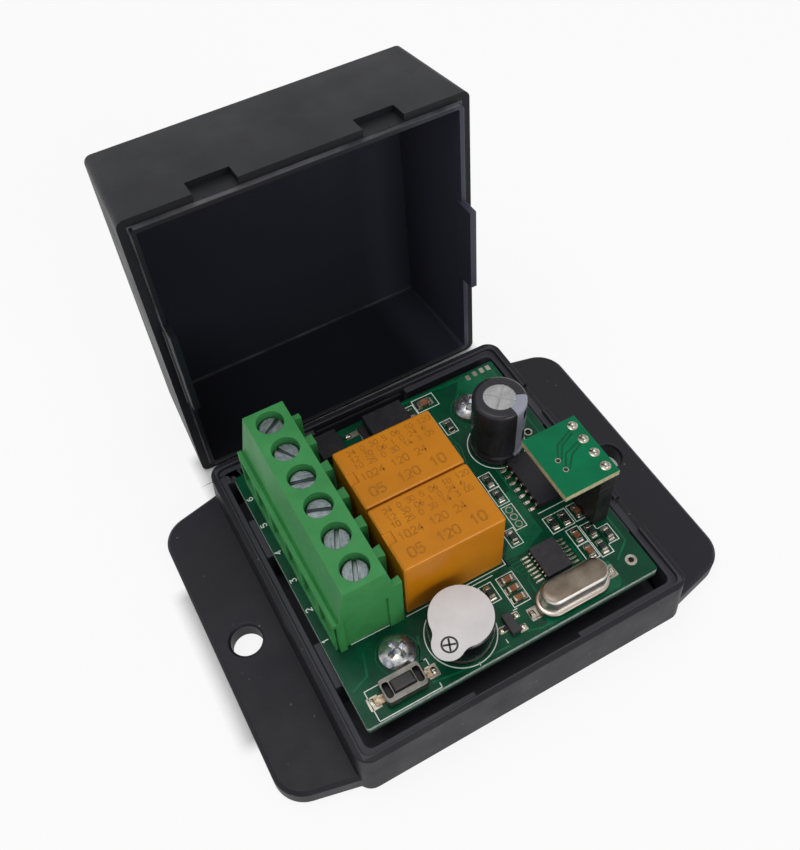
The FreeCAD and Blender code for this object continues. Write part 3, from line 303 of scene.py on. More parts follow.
def below(tree, value, limit):
    """1 where a value is under a limit."""
    return calc(tree, "LESS_THAN", value, limit)


def above(tree, value, limit):
    """1 where a value is over a limit."""
    return calc(tree, "GREATER_THAN", value, limit)


def remap(tree, value, low, high, to_low=0.0, to_high=1.0):
    """A value moved from one span to another and held within it."""
    spans = {"Value": value, "From Min": low, "From Max": high, "To Min": to_low, "To Max": to_high}
    return node(tree, "MapRange", spans).outputs["Result"]


def object_place(tree):
    """Object coordinates, in metres."""
    return node(tree, "TexCoord", {}).outputs["Object"]


def vector(tree, operation, *values):
    """Result of a vector math node."""
    return node(tree, "VectorMath", dict(enumerate(values)), operation=operation).outputs["Vector"]


def place_mm(tree):
    """Object coordinates, in millimetres."""
    return vector(tree, "MULTIPLY", object_place(tree), (1 / MM, 1 / MM, 1 / MM))


def split(tree, value):
    """X, Y and Z of a vector."""
    return tuple(node(tree, "SeparateXYZ", {0: value}).outputs)


def from_middle(tree, x, y):
    """Distance from the middle in the metric of a square: the larger of |x| and |y|."""
    return calc(tree, "MAXIMUM", calc(tree, "ABSOLUTE", x), calc(tree, "ABSOLUTE", y))


def noise(tree, scale, detail, roughness=0.5, place=None):
    """Noise over the object."""
    values = {"Scale": scale, "Detail": detail, "Roughness": roughness}
    values["Vector"] = object_place(tree) if place is None else place
    return node(tree, "TexNoise", values).outputs["Fac"]


def rgb(colour):
    """A screen colour as a linear one: ((c + 0.055) / 1.055) ** 2.4, or c / 12.92 where it is very dark."""
    c = np.array(colour) / 255
    linear = np.where(c <= 0.04045, c / 12.92, ((c + 0.055) / 1.055) ** 2.4)
    return (*linear.tolist(), 1.0)


def mixed(tree, mask, under, over):
    """One colour over another where the mask is 1."""
    under, over = (rgb(colour) if isinstance(colour, tuple) else colour for colour in (under, over))
    return node(tree, "Mix", {0: mask, 6: under, 7: over}, data_type="RGBA").outputs[2]


# Shared effects

SOCKET_KINDS = {1: "NodeSocketFloat", 3: "NodeSocketVector", 4: "NodeSocketColor"}


def new_group(name, inputs, outputs):
    """A node group with named inputs and outputs. A socket's kind follows from how many numbers it holds."""
    tree = bpy.data.node_groups.new(name, "ShaderNodeTree")
    for label, value in inputs.items():
        socket = tree.interface.new_socket(label, in_out="INPUT", socket_type=SOCKET_KINDS[np.size(value)])
        socket.default_value = value
    for label, size in outputs.items():
        tree.interface.new_socket(label, in_out="OUTPUT", socket_type=SOCKET_KINDS[size])
    return tree, tree.nodes.new("NodeGroupInput").outputs, tree.nodes.new("NodeGroupOutput").inputs


def moulded_grain():
    """Fine and broad noise of a moulded skin. Height for a bump, Mottle for colour and roughness."""
    inputs = {"Fine Scale": 4000.0, "Broad Scale": 150.0, "Broad Share": 0.3}
    tree, given, out = new_group("moulded_grain", inputs, {"Height": 1, "Mottle": 1})
    fine = noise(tree, given["Fine Scale"], 3.0, 0.6)
    broad = noise(tree, given["Broad Scale"], 4.0, 0.55)
    feed(tree, out["Height"], calc(tree, "ADD", fine, times(tree, broad, given["Broad Share"])))
    feed(tree, out["Mottle"], remap(tree, broad, 0.3, 0.7))
    return tree


def surface_dust():
    """Small specks of dust: the cores of scattered cells, kept where a broad noise is high."""
    tree, given, out = new_group("surface_dust", {"Amount": 0.12}, {"Mask": 1})
    cells = node(tree, "TexVoronoi", {"Vector": object_place(tree), "Scale": 700.0, "Randomness": 1.0})
    core = calc(tree, "SUBTRACT", given["Amount"], cells.outputs["Distance"])
    core = calc(tree, "MULTIPLY", core, 14.0, clamp=True)
    feed(tree, out["Mask"], times(tree, core, remap(tree, noise(tree, 260.0, 2.0), 0.5, 0.62)))
    return tree


def drawn_streaks():
    """Noise drawn out along one axis, as rolling, wiping or brushing leaves it."""
    inputs = {"Stretch": (60.0, 2500.0, 2500.0), "Turn": (0.0, 0.0, 0.0)}
    tree, given, out = new_group("drawn_streaks", inputs, {"Mask": 1})
    placing = {"Vector": object_place(tree), "Rotation": given["Turn"]}
    turned_place = node(tree, "Mapping", placing, vector_type="POINT").outputs["Vector"]
    drawn = vector(tree, "MULTIPLY", turned_place, given["Stretch"])
    feed(tree, out["Mask"], remap(tree, noise(tree, 1.0, 3.0, 0.6, drawn), 0.35, 0.7))
    return tree


def colour_drift():
    """A slow change between two colours."""
    inputs = {"Dark": rgb((0, 0, 0)), "Light": rgb((255, 255, 255)), "Scale": 120.0}
    tree, given, out = new_group("colour_drift", inputs, {"Colour": 4})
    share = remap(tree, noise(tree, given["Scale"], 5.0, 0.6), 0.32, 0.68)
    feed(tree, out["Colour"], mixed(tree, share, given["Dark"], given["Light"]))
    return tree


def box_edge_highlight():
    """Mask of painted highlights along the arrises of a box, in millimetres: 1 where the second smallest
    distance to its faces is below a width, broken by noise. Second smallest of x, y, z =
    max(min(x, y), min(max(x, y), z))."""
    inputs = {"Middle": (0.0, 0.0, 0.0), "Half": (10.0, 10.0, 10.0), "Width": 0.1}
    tree, given, out = new_group("box_edge_highlight", inputs, {"Mask": 1})
    offset = vector(tree, "ABSOLUTE", vector(tree, "SUBTRACT", place_mm(tree), given["Middle"]))
    x, y, z = split(tree, vector(tree, "SUBTRACT", given["Half"], offset))
    low = calc(tree, "MINIMUM", x, y)
    high = calc(tree, "MINIMUM", calc(tree, "MAXIMUM", x, y), z)
    near = below(tree, calc(tree, "MAXIMUM", low, high), given["Width"])
    within = above(tree, calc(tree, "MINIMUM", low, z), -0.2)
    broken = remap(tree, noise(tree, 900.0, 3.0), 0.3, 0.55, 0.25, 1.0)
    feed(tree, out["Mask"], times(tree, near, broken, within))
    return tree


GRAIN = moulded_grain()
DUST = surface_dust()
STREAKS = drawn_streaks()
DRIFT = colour_drift()
EDGE_HIGHLIGHT = box_edge_highlight()


def placed(tree, group, values):
    """Outputs of a group placed in a material with its own values."""
    return node(tree, "Group", values, node_tree=group).outputs


# Finishes

def skin(name, dark, light, drift=120.0, rough=(0.4, 0.5), fine=4000.0, broad=150.0, share=0.3, bump=0.2,
         depth=0.02, metal=0.0, level=0.5, dust=0.0, dust_colour=(159.7, 159.7, 161.7), streak=None,
         streak_share=0.5):
    """A material: drifting colour, dust, mottled or streaked roughness, and grain in its bump."""
    material = bpy.data.materials.new(name)
    material.use_nodes = True
    tree = material.node_tree
    shader = tree.nodes["Principled BSDF"]
    shader.inputs["Metallic"].default_value = metal
    shader.inputs["Specular IOR Level"].default_value = level
    grain = placed(tree, GRAIN, {"Fine Scale": fine, "Broad Scale": broad, "Broad Share": share})
    colour = placed(tree, DRIFT, {"Dark": rgb(dark), "Light": rgb(light), "Scale": drift})["Colour"]
    rough_mask = grain["Mottle"]
    height = grain["Height"]
    if streak:
        streaks = placed(tree, STREAKS, streak)["Mask"]
        rough_mask = times(tree, rough_mask, 1 - streak_share)
        rough_mask = calc(tree, "ADD", times(tree, streaks, streak_share), rough_mask)
        height = calc(tree, "ADD", height, streaks)
    if dust:
        specks = placed(tree, DUST, {"Amount": dust})["Mask"]
        colour = mixed(tree, specks, colour, dust_colour)
        rough_mask = calc(tree, "ADD", rough_mask, specks)
    relief = node(tree, "Bump", {"Strength": bump, "Distance": depth * MM, "Height": height})
    feed(tree, shader.inputs["Base Color"], colour)
    feed(tree, shader.inputs["Roughness"], remap(tree, rough_mask, 0.0, 1.0, *rough))
    feed(tree, shader.inputs["Normal"], relief.outputs["Normal"])
    return material


def opened(material):
    """Of a finished material: its node tree, its shader and the colour that feeds it."""
    tree = material.node_tree
    shader = tree.nodes["Principled BSDF"]
    return tree, shader, shader.inputs["Base Color"].links[0].from_socket


CHIP = dict(drift=900, fine=9000, broad=900, bump=0.5, depth=0.01)
MOULDED = dict(fine=7000, broad=500, bump=0.3, depth=0.01)
COPPER = dict(drift=500, rough=(0.24, 0.38), fine=2600, broad=600, share=0.8, bump=0.15)
SAWN = dict(drift=1800, rough=(0.6, 0.8), fine=3200, broad=700, share=0.5, bump=0.8, depth=0.05)
TINNED = dict(fine=5000, broad=900, share=0.5)
CERAMIC = dict(fine=6000, broad=900)

cover_black = skin("satin_cover_black", (18, 19, 23), (25, 26, 31), drift=60, rough=(0.42, 0.56), fine=5200,
                   broad=140, share=0.25, bump=0.3, level=0.22, dust=0.07, dust_colour=(78, 79, 84))
tray_black = skin("grained_tray_black", (13, 13, 20), (21, 21, 29), drift=80, rough=(0.42, 0.58), fine=2800,
                  broad=160, bump=0.6, depth=0.03, level=0.24, dust=0.13, dust_colour=(92, 92, 97))
chip_black = skin("moulded_chip_black", (40, 39, 42), (54, 52, 55), rough=(0.45, 0.6), level=0.3, **CHIP)
driver_black = skin("moulded_driver_black", (22, 21, 25), (32, 31, 36), rough=(0.4, 0.55), level=0.25,
                    **CHIP)
part_black = skin("moulded_part_black", (18, 18, 19), (30, 30, 31), drift=500, rough=(0.35, 0.5),
                  level=0.25, **MOULDED)
button_black = skin("button_black", (34, 33, 34), (50, 48, 48), drift=700, rough=(0.4, 0.55), level=0.3,
                    **MOULDED)
buzzer_black = skin("buzzer_gloss_black", (10, 10, 12), (18, 18, 20), drift=300, rough=(0.12, 0.22),
                    fine=5000, broad=400, share=0.5, bump=0.12, depth=0.01, level=0.4, dust=0.07)
terminal_green = skin("terminal_moulding_green", (50, 124, 66), (62, 140, 78), drift=140, rough=(0.4, 0.52),
                      fine=3500, broad=300, share=0.5, bump=0.25, level=0.22, dust=0.05,
                      dust_colour=(130, 180, 130))
relay_orange = skin("relay_moulding_orange", (184, 112, 8), (198, 124, 12), drift=130, rough=(0.32, 0.44),
                    broad=260, share=0.6, level=0.2, dust=0.05, dust_colour=(214, 156, 70))
relay_print = skin("relay_pad_print", (148, 92, 16), (178, 110, 16), drift=2400, rough=(0.45, 0.6),
                   level=0.2, **CERAMIC)
mask_green = skin("solder_mask_green", (0, 52, 34), (0, 74, 48), drift=180, rough=(0.26, 0.4), fine=2600,
                  broad=420, share=0.8, bump=0.12, level=0.16)
copper_green = skin("mask_over_copper_green", (0, 76, 48), (4, 98, 64), level=0.2, **COPPER)
radio_edge = skin("radio_laminate_edge", (150, 146, 108), (196, 186, 146), **SAWN)
radio_green = skin("radio_mask_green", (0, 98, 62), (0, 114, 74), drift=220, rough=(0.28, 0.4), fine=2600,
                   broad=420, share=0.7, bump=0.1, level=0.12)
radio_track = skin("radio_track_green", (2, 76, 48), (8, 90, 58), level=0.12, **COPPER)
silk_white = skin("legend_white", (206, 214, 208), (236, 240, 236), drift=2200, rough=(0.5, 0.7), fine=7000,
                  broad=2200, share=0.5, bump=0.3, depth=0.01, level=0.25)
label_white = skin("label_film", (200, 197, 198), (214, 211, 212), drift=200, rough=(0.42, 0.52), fine=6000,
                   broad=200, bump=0.15, depth=0.01, level=0.25)
label_ink = skin("label_ink", (34, 32, 34), (48, 46, 48), drift=1500, rough=(0.5, 0.6), level=0.3)
flux_tin = skin("flux_browned_tin", (96, 76, 58), (178, 160, 138), drift=2200, rough=(0.26, 0.46), bump=0.3,
                metal=0.9, **TINNED)
blue_zinc = skin("blue_zinc_plate", (104, 114, 134), (206, 202, 194), drift=1400, rough=(0.2, 0.4),
                 fine=3000, broad=900, share=0.8, bump=0.3, depth=0.03, metal=0.9)
solder = skin("solder", (120, 112, 102), (198, 192, 180), drift=1700, rough=(0.14, 0.36), fine=2500,
              broad=1400, share=0.8, bump=0.4, depth=0.03, metal=1.0)
tin = skin("tin_plate", (118, 114, 104), (170, 164, 152), drift=1100, rough=(0.25, 0.45), bump=0.25,
           metal=1.0, **TINNED)
lead_tin = skin("lead_tin", (156, 145, 128), (230, 222, 208), drift=1500, rough=(0.16, 0.34), bump=0.25,
                metal=1.0, **TINNED)
switch_steel = skin("switch_cover_steel", (86, 84, 80), (124, 121, 115), drift=700, rough=(0.3, 0.46),
                    fine=5000, broad=700, share=0.5, bump=0.3, metal=1.0)
can_silver = skin("can_end_silver", (140, 140, 140), (176, 176, 176), drift=300, rough=(0.24, 0.42),
                  broad=900, share=0.5, bump=0.3, metal=1.0, streak={"Stretch": (300.0, 6000.0, 3000.0)})
soft_iron = skin("soft_iron_grey", (110, 108, 106), (150, 148, 146), drift=500, rough=(0.35, 0.5),
                 metal=1.0)
winding = skin("enamelled_copper", (130, 60, 26), (178, 88, 40), drift=500, rough=(0.25, 0.4), metal=0.8,
               streak={"Stretch": (400.0, 400.0, 16000.0)})
bung_rubber = skin("bung_rubber_black", (20, 20, 20), (30, 30, 30), drift=500, rough=(0.7, 0.85), level=0.3)
brown_ceramic = skin("brown_ceramic", (104, 66, 42), (146, 96, 64), drift=1200, rough=(0.5, 0.65),
                     level=0.3, **CERAMIC)
dark_ceramic = skin("dark_ceramic", (24, 26, 28), (46, 48, 50), drift=1500, rough=(0.3, 0.45), level=0.3,
                    **CERAMIC)
hole_dark = skin("hole_shadow", (6, 8, 8), (12, 14, 14), drift=900, rough=(0.7, 0.9), level=0.2)


def sleeve_material():
    """Black shrink film with the pale stripe of the minus side and its dark bars. The stripe and the bars are
    spans of turn about the can, in radians, and the bars repeat with height."""
    material = skin("sleeve_film", (36, 35, 39), (50, 48, 54), drift=260, rough=(0.16, 0.28), fine=1500,
                    broad=500, share=0.9, depth=0.05, level=0.22, dust=0.05)
    tree, shader, base = opened(material)
    stripe_turn, first_bar, bar_step, last_bar = -0.92, 11.9, 2.6, 20.4
    stripe_half, bar_half, bar_height = (0.53, 0.51), (0.17, 0.15), (1.35, 1.45)
    x, y, z = split(tree, vector(tree, "SUBTRACT", place_mm(tree), (*CAPACITOR, 0.0)))
    away = calc(tree, "ABSOLUTE", calc(tree, "SUBTRACT", calc(tree, "ARCTAN2", y, x), stripe_turn))
    bar = calc(tree, "PINGPONG", calc(tree, "SUBTRACT", z, first_bar), bar_step)
    bar = times(tree, remap(tree, bar, *bar_height), remap(tree, away, *bar_half), below(tree, z, last_bar))
    striped = mixed(tree, remap(tree, away, *stripe_half), base, (146, 148, 162))
    feed(tree, shader.inputs["Base Color"], mixed(tree, bar, striped, (24, 24, 30)))
    return material


def cover_material():
    """The cover: satin and dusty outside, glossier and near black inside. The inner walls are told from the
    outer ones by their place, within a box that leans as the cover does: x across it, y down and z into it.
    Their colour is painted light: lighter towards the roof and on one side, where each painted side light
    is a span of x, with its share and colour. A painted glint runs along the roof's lower corner and a
    painted highlight along the rim."""
    tree, shader, base = opened(cover_black)
    stand, lean = (0.4, 33.51, 25.66), (math.radians(-93.151), 0.0, math.radians(0.6))
    inner_half, inner_depth, lip_half, lip_width, lip_depth = 24.4, 16.9, 24.36, 0.1, 1.5
    glint_down, glint_deep, shade_span = 22.35, 16.15, (2.0, 16.0)
    side_painted_light = ((14.0, 18.0, 0.5, (56, 57, 68)), (22.6, 23.2, 1.0, (62, 63, 76)))
    upright = node(tree, "Mapping", {"Vector": place_mm(tree), "Location": stand, "Rotation": lean},
                   vector_type="TEXTURE")
    x, y, z = split(tree, upright.outputs["Vector"])
    out = from_middle(tree, x, y)
    inside = times(tree, below(tree, out, inner_half), below(tree, z, inner_depth))
    broken = noise(tree, 160.0, 3.0)
    # Painted glint: a paler colour along the corner where the roof meets the lower inner wall
    corner = times(tree, above(tree, y, glint_down), above(tree, z, glint_deep))
    corner = times(tree, corner, remap(tree, broken, 0.35, 0.65, 0.15, 0.9))
    # Painted highlight: thin pale lines along the inner edge of the rim
    rim_highlight = times(tree, calc(tree, "COMPARE", out, lip_half, lip_width), below(tree, z, lip_depth))
    rim_highlight = times(tree, rim_highlight, remap(tree, broken, 0.35, 0.65, 0.3, 0.9))
    # Painted light: the inner walls grow lighter towards the roof, and lighter still on one side by the side
    # spans
    inner = mixed(tree, remap(tree, z, *shade_span), (24, 25, 31), (33, 34, 42))
    inner = mixed(tree, corner, inner, (88, 88, 94))
    for low, high, share, colour in side_painted_light:
        inner = mixed(tree, remap(tree, x, low, high, 0.0, share), inner, colour)
    walls = mixed(tree, inside, base, inner)
    feed(tree, shader.inputs["Base Color"], mixed(tree, rim_highlight, walls, (92, 92, 98)))
    rough = shader.inputs["Roughness"].links[0].from_socket
    gloss = remap(tree, broken, 0.3, 0.7, 0.3, 0.34)
    blend = node(tree, "Mix", {0: inside, 2: rough, 3: gloss}, data_type="FLOAT")
    feed(tree, shader.inputs["Roughness"], blend.outputs[0])
    relief = shader.inputs["Normal"].links[0].from_node.inputs["Height"]
    feed(tree, relief, times(tree, relief.links[0].from_socket, calc(tree, "SUBTRACT", 1.0, inside)))
    return cover_black


def tray_material():
    """The base: dusty black outside, and painted light on the walls round the board: they are a little paler,
    against the shade inside the base, and are told by their place.
    """
    tree, shader, base = opened(tray_black)
    x, y, z = split(tree, place_mm(tree))
    inner_half, floor_top = 24.75, 1.0
    inside = times(tree, below(tree, from_middle(tree, x, y), inner_half), above(tree, z, floor_top))
    # Painted light: the walls round the board are coloured paler than the outside
    feed(tree, shader.inputs["Base Color"], mixed(tree, inside, base, (52, 52, 58)))
    return tray_black


def screw_material(number, angle):
    """Zinc screw: drawn streaks along its slot, whose floor, told by its height, is painted brighter, a
    painted light against the shade in the slot.
    """
    along_slot = {"Stretch": (500.0, 6000.0, 600.0), "Turn": (0.0, 0.0, -math.radians(angle))}
    material = skin("zinc_plate_%d" % number, (74, 82, 84), (124, 132, 134), drift=900, rough=(0.26, 0.5),
                    fine=5000, broad=800, share=0.6, bump=0.5, depth=0.03, metal=0.9, streak=along_slot,
                    streak_share=0.7)
    tree, shader, base = opened(material)
    z = split(tree, place_mm(tree))[2]
    streaks = placed(tree, STREAKS, along_slot)["Mask"]
    lined = mixed(tree, times(tree, streaks, 0.4), base, (150, 160, 162))
    # Painted light: the slot floor is coloured brighter than the head
    lit_slot_floor = remap(tree, z, 23.25, 23.1)
    feed(tree, shader.inputs["Base Color"], mixed(tree, lit_slot_floor, lined, (132, 142, 142)))
    return material


def crystal_material():
    """Nickel can: its top and flange are painted brownish grey, painted reflections that are darker than the
    brighter sides, told by their height.
    """
    material = skin("crystal_nickel", (218, 214, 208), (248, 245, 240), drift=260, rough=(0.26, 0.4),
                    fine=3000, broad=500, share=0.5, bump=0.15, metal=1.0,
                    streak={"Stretch": (160.0, 5000.0, 5000.0)})
    tree, shader, base = opened(material)
    z = split(tree, place_mm(tree))[2]
    # Painted reflection: the top is coloured a darker brownish grey
    painted_light = placed(tree, DRIFT, {"Dark": rgb((98, 87, 76)), "Light": rgb((128, 118, 106)), "Scale": 300.0})
    # Painted reflection: the flange is coloured brownish and darker than the sides
    flange = times(tree, remap(tree, z, 10.75, 10.6), 0.8)
    sides = mixed(tree, flange, base, (128, 112, 98))
    top = remap(tree, z, 13.0, 13.3)
    feed(tree, shader.inputs["Base Color"], mixed(tree, top, sides, painted_light["Colour"]))
    return material


def edge_material():
    """Sawn edge of the board: pale at its upper arris, with painted shade in dark green below, told by height
    and ragged.
    """
    material = skin("sawn_laminate_edge", (146, 164, 154), (200, 210, 202), level=0.3, **SAWN)
    tree, shader, base = opened(material)
    z = split(tree, place_mm(tree))[2]
    height = calc(tree, "ADD", z, times(tree, noise(tree, 2600.0, 3.0), 0.5))
    # Painted shade: the lower part of the edge is coloured dark green
    low = remap(tree, height, BOARD - 0.25, BOARD - 0.75)
    feed(tree, shader.inputs["Base Color"], mixed(tree, low, base, (54, 84, 71)))
    return material


def edge_highlight_material():
    """Relay orange with painted highlights on its arrises: the mask is 1 where two of the three distances to
    the case's own faces are small, broken by noise."""
    tree, shader, colour = opened(relay_orange)
    for number in (1, 2):
        low, high = span("relay_case_%d" % number)
        values = {"Middle": (low + high) / 2, "Half": (high - low) / 2, "Width": 0.14}
        painted_light = placed(tree, EDGE_HIGHLIGHT, values)["Mask"]
        # Painted highlight: paler orange along the case's arrises
        colour = mixed(tree, times(tree, painted_light, 0.75), colour, (242, 186, 112))
    feed(tree, shader.inputs["Base Color"], colour)
    return relay_orange


sleeve_film = sleeve_material()
laminate_edge = edge_material()
relay_finish = edge_highlight_material()
crystal_finish = crystal_material()
cover_finish = cover_material()
tray_finish = tray_material()


# Box

shell("base_tray", tray_finish, 0.14, 3)
shell("lid_cover", cover_finish, 0.0)


# Boards: their flat faces carry the green mask and their sides show the sawn laminate

def two_faced(obj, side_material):
    """Gives the upright faces of a board the sawn edge."""
    mesh = obj.data
    mesh.materials.append(side_material)
    normals = np.empty(len(mesh.polygons) * 3)
    mesh.polygons.foreach_get("normal", normals)
    upright = (np.abs(normals.reshape(-1, 3)[:, 2]) < 0.5).astype(np.int32)
    mesh.polygons.foreach_set("material_index", upright)


two_faced(shell("main_board", mask_green, 0.0), laminate_edge)
two_faced(shell("receiver_board", radio_green, 0.0), radio_edge)


# White print on the board

DIGITS = {
    "0": ((0, .2), (0, .8), (.15, 1), (.45, 1), (.6, .8), (.6, .2), (.45, 0), (.15, 0), (0, .2)),
    "1": ((.1, .75), (.35, 1), (.35, 0)),
    "2": ((0, .8), (.15, 1), (.45, 1), (.6, .8), (.6, .6), (0, 0), (.6, 0)),
    "3": ((0, 1), (.6, 1), (.3, .6), (.5, .55), (.6, .4), (.6, .2), (.45, 0), (.15, 0), (0, .15)),
    "4": ((.45, 0), (.45, 1), (0, .35), (.6, .35)),
    "5": ((.6, 1), (.05, 1), (0, .55), (.4, .6), (.6, .4), (.6, .2), (.45, 0), (.15, 0), (0, .15)),
    "6": ((.5, 1), (.15, .8), (0, .5), (0, .2), (.15, 0), (.45, 0), (.6, .2), (.6, .4), (.45, .55),
          (.15, .55), (0, .4)),
}
DIGIT_STEP = 0.84


def written(text, x, y, size, angle, width, heights):
    """Digits as bands: each stroke's points are scaled, moved along the line and turned about its start."""
    c, s = math.cos(math.radians(angle)), math.sin(math.radians(angle))
    bands = []
    for number, sign in enumerate(text):
        if sign in DIGITS:
            u, v = (np.array(DIGITS[sign]) * size).T
            u = u + number * size * DIGIT_STEP
            bands.append(band(np.column_stack([x + u * c - v * s, y + u * s + v * c]), width, heights))
    return bands


PRINT = (BOARD + 0.005, BOARD + 0.03)
PRINT_WIDTH = 0.12
BOLD_WIDTH = 0.14
PRINT_RINGS = ((BUZZER, 4.9, 72), (CAPACITOR, 4.4, 64))
NUMBER_X, FIRST_NUMBER_Y, NUMBER_SIZE = -21.55, -8.8, 0.85
PRINT_BOXES = (
    (13.22, -10.2, 15.06, -7.4), (15.06, -10.2, 16.92, -7.4), (17.25, -10.15, 19.2, -7.35),
    (14.95, -13.45, 16.87, -10.68), (14.95, -16.3, 16.87, -13.55), (17.08, -13.85, 18.98, -11.0),
    (17.08, -16.65, 18.98, -13.85), (18.98, -15.35, 20.8, -12.55), (-0.4, -15.0, 1.52, -12.1),
    (9.05, -7.1, 10.85, -2.95), (9.0, 0.48, 10.9, 3.28), (8.95, -2.5, 10.85, 0.38), (7.0, -9.2, 8.88, -6.4),
    (9.1, 12.1, 11.0, 14.8), (5.2, 17.2, 7.2, 20.0), (7.35, 18.05, 11.0, 20.6),
    (2.35, -16.95, 4.95, -12.15))
PRINT_LINES = (
    ((-19.27, -10.73), (-13.46, -10.82)), ((-20.75, -21.55), (-20.75, -17.3), (-12.0, -17.3)),
    ((-20.75, -21.65), (-11.66, -21.65)), ((-11.66, -21.65), (-11.66, -20.95)),
    ((-11.66, -18.4), (-11.66, -17.3), (-13.2, -17.3)), ((13.2, -6.35), (18.0, -6.35)),
    ((13.2, 3.35), (18.0, 3.35)), ((4.78, 10.3), (4.78, -10.86), (-10.95, -10.86)),
    ((1.95, -17.2), (2.6, -17.2)), ((-1.1, -20.8), (-1.1, -20.2)), ((19.2, -11.35), (20.95, -11.35)),
    ((-1.0, -12.1), (-1.0, -11.4), (2.35, -11.4)), ((-5.86, -21.2), (-5.86, -21.65)))

legend = []
for x0, y0, x1, y1 in PRINT_BOXES:
    legend.append(band(((x0, y0), (x1, y0), (x1, y1), (x0, y1)), PRINT_WIDTH, PRINT, closed=True))
for line in PRINT_LINES:
    legend.append(band(line, PRINT_WIDTH, PRINT))
for place, radius, count in PRINT_RINGS:
    legend.append(band(circle(*place, radius, count), BOLD_WIDTH, PRINT, closed=True))
for number in range(len(SLOT_ANGLES)):
    y = FIRST_NUMBER_Y + TERMINAL_PITCH * number
    legend += written(str(number + 1), NUMBER_X, y, NUMBER_SIZE, 90, BOLD_WIDTH, PRINT)
piece("board_legend", joined(legend), silk_white)


# Copper under the mask: tracks and filled areas stand a little proud and look paler

TRACK = (BOARD + 0.002, BOARD + 0.018)
FILL = (BOARD + 0.001, BOARD + 0.012)
FINE_TRACK, MIDDLE_TRACK, WIDE_TRACK = 0.16, 0.22, 0.3
SCREW_RING = 2.95
BUNDLE_TRACKS, BUNDLE_STEP = 8, 0.52
TRACK_LINES = (
    ((-12.5, -20.5), (-9.0, -21.0), (-1.0, -21.2)), ((2.0, -20.6), (4.0, -21.2), (16.0, -21.3)),
    ((18.6, -18.0), (21.4, -16.0), (21.4, 14.0)), ((20.6, -9.0), (20.6, 4.0), (19.6, 5.2)),
    ((12.2, 12.0), (16.0, 16.4), (17.6, 19.4)), ((12.4, 20.6), (16.8, 20.6)), ((5.6, 20.9), (15.4, 20.9)),
    ((-0.6, -16.2), (-2.0, -13.8), (-2.0, -11.6)), ((1.6, -11.2), (3.2, -11.2), (5.6, -8.6)),
    ((12.1, -6.3), (12.1, 3.2)), ((6.2, -20.8), (6.2, -14.4), (7.2, -13.4)),
    ((11.6, -16.0), (14.4, -16.0), (14.4, -12.6)), ((-22.0, -16.6), (-19.4, -15.6), (-18.4, -12.4)),
    ((-17.0, -16.9), (-12.2, -16.9), (-11.0, -14.0)))
COPPER_AREAS = (
    ((12.2, -8.9), (12.2, -1.0), (8.6, -1.0), (8.6, -6.2), (5.0, -10.4), (8.4, -10.6)),
    ((5.0, -21.45), (16.5, -21.45), (17.4, -20.6), (17.4, -17.4), (5.0, -17.4)),
    ((11.6, 14.9), (21.9, 14.9), (21.9, 20.9), (16.2, 20.9)))

tracks = [band(circle(x, y, SCREW_RING, 48), FINE_TRACK, TRACK, closed=True) for x, y, turn in BOARD_SCREWS]
for shift in np.arange(BUNDLE_TRACKS) * BUNDLE_STEP:
    line = ((5.1 + shift, 16.6), (5.4 + shift, 13.6), (6.0 + shift, 9.6 - 0.15 * shift),
            (5.6 + shift * 0.8, 5.2), (5.0 + shift * 0.5, 1.2 + shift))
    tracks.append(band(line, MIDDLE_TRACK, TRACK))
for number in range(LEADS_A_SIDE):
    y = CHIPS[0][1] + CHIPS[0][2] * number
    line = ((6.9, y), (6.0 - 0.25 * number, y), (4.9, y + 1.45), (4.9, y + 3.05))
    tracks.append(band(line, FINE_TRACK, TRACK))
for line in TRACK_LINES:
    tracks.append(band(line, WIDE_TRACK, TRACK))
for corners in COPPER_AREAS:
    tracks.append(stack([at_height(corners, z) for z in FILL]))
piece("board_tracks", joined(tracks), copper_green)


# Bare tinned places and the solder on them

def pad(x, y, half_x, half_y, corner=0.12):
    """Thin flat pad with round corners."""
    ring = rounded(x, y, half_x, half_y, corner, 3)
    return stack([at_height(ring, z) for z in (BOARD, PAD_TOP)])


def solder_slope(x, y, angle, width, reach, height, steps=6):
    """Hollow slope of solder from its root down to a thin toe: toe + (height - toe) * (1 - s) squared."""
    toe, spread = 0.03, 0.12
    s = np.linspace(0, 1, steps + 1)
    along = np.concatenate([s * reach, [reach, 0.0]])
    rise = BOARD + np.concatenate([toe + (height - toe) * (1 - s) ** 2, [0.0, 0.0]])
    c, d = math.cos(math.radians(angle)), math.sin(math.radians(angle))
    sides = []
    for side in (-width / 2, width / 2):
        taper = side * (1 + spread * along / reach)
        sides.append(np.column_stack([x + along * c - taper * d, y + along * d + taper * c, rise]))
    count = len(along)
    i = np.arange(count)
    k = (i + 1) % count
    walls = np.stack([i, i + count, k + count, k], axis=-1)
    return np.vstack(sides), [walls, i.reshape(1, -1), (i[::-1] + count).reshape(1, -1)]


def soldered_end(x, y, angle, pad_out, half_long, half_wide, slope_out, width, reach, height, corner=0.12):
    """Pad and solder of one end of a part, which points along 0, 90, 180 or 270 degrees. Each lies by its own
    distance out from the part's middle."""
    c, s = round(math.cos(math.radians(angle))), round(math.sin(math.radians(angle)))
    half_x, half_y = (half_long, half_wide) if c else (half_wide, half_long)
    return (pad(x + c * pad_out, y + s * pad_out, half_x, half_y, corner),
            solder_slope(x + c * slope_out, y + s * slope_out, angle, width, reach, height))


# Parts are given by their middles, pads by middle and half sizes, and holes by middle, outer and inner radius

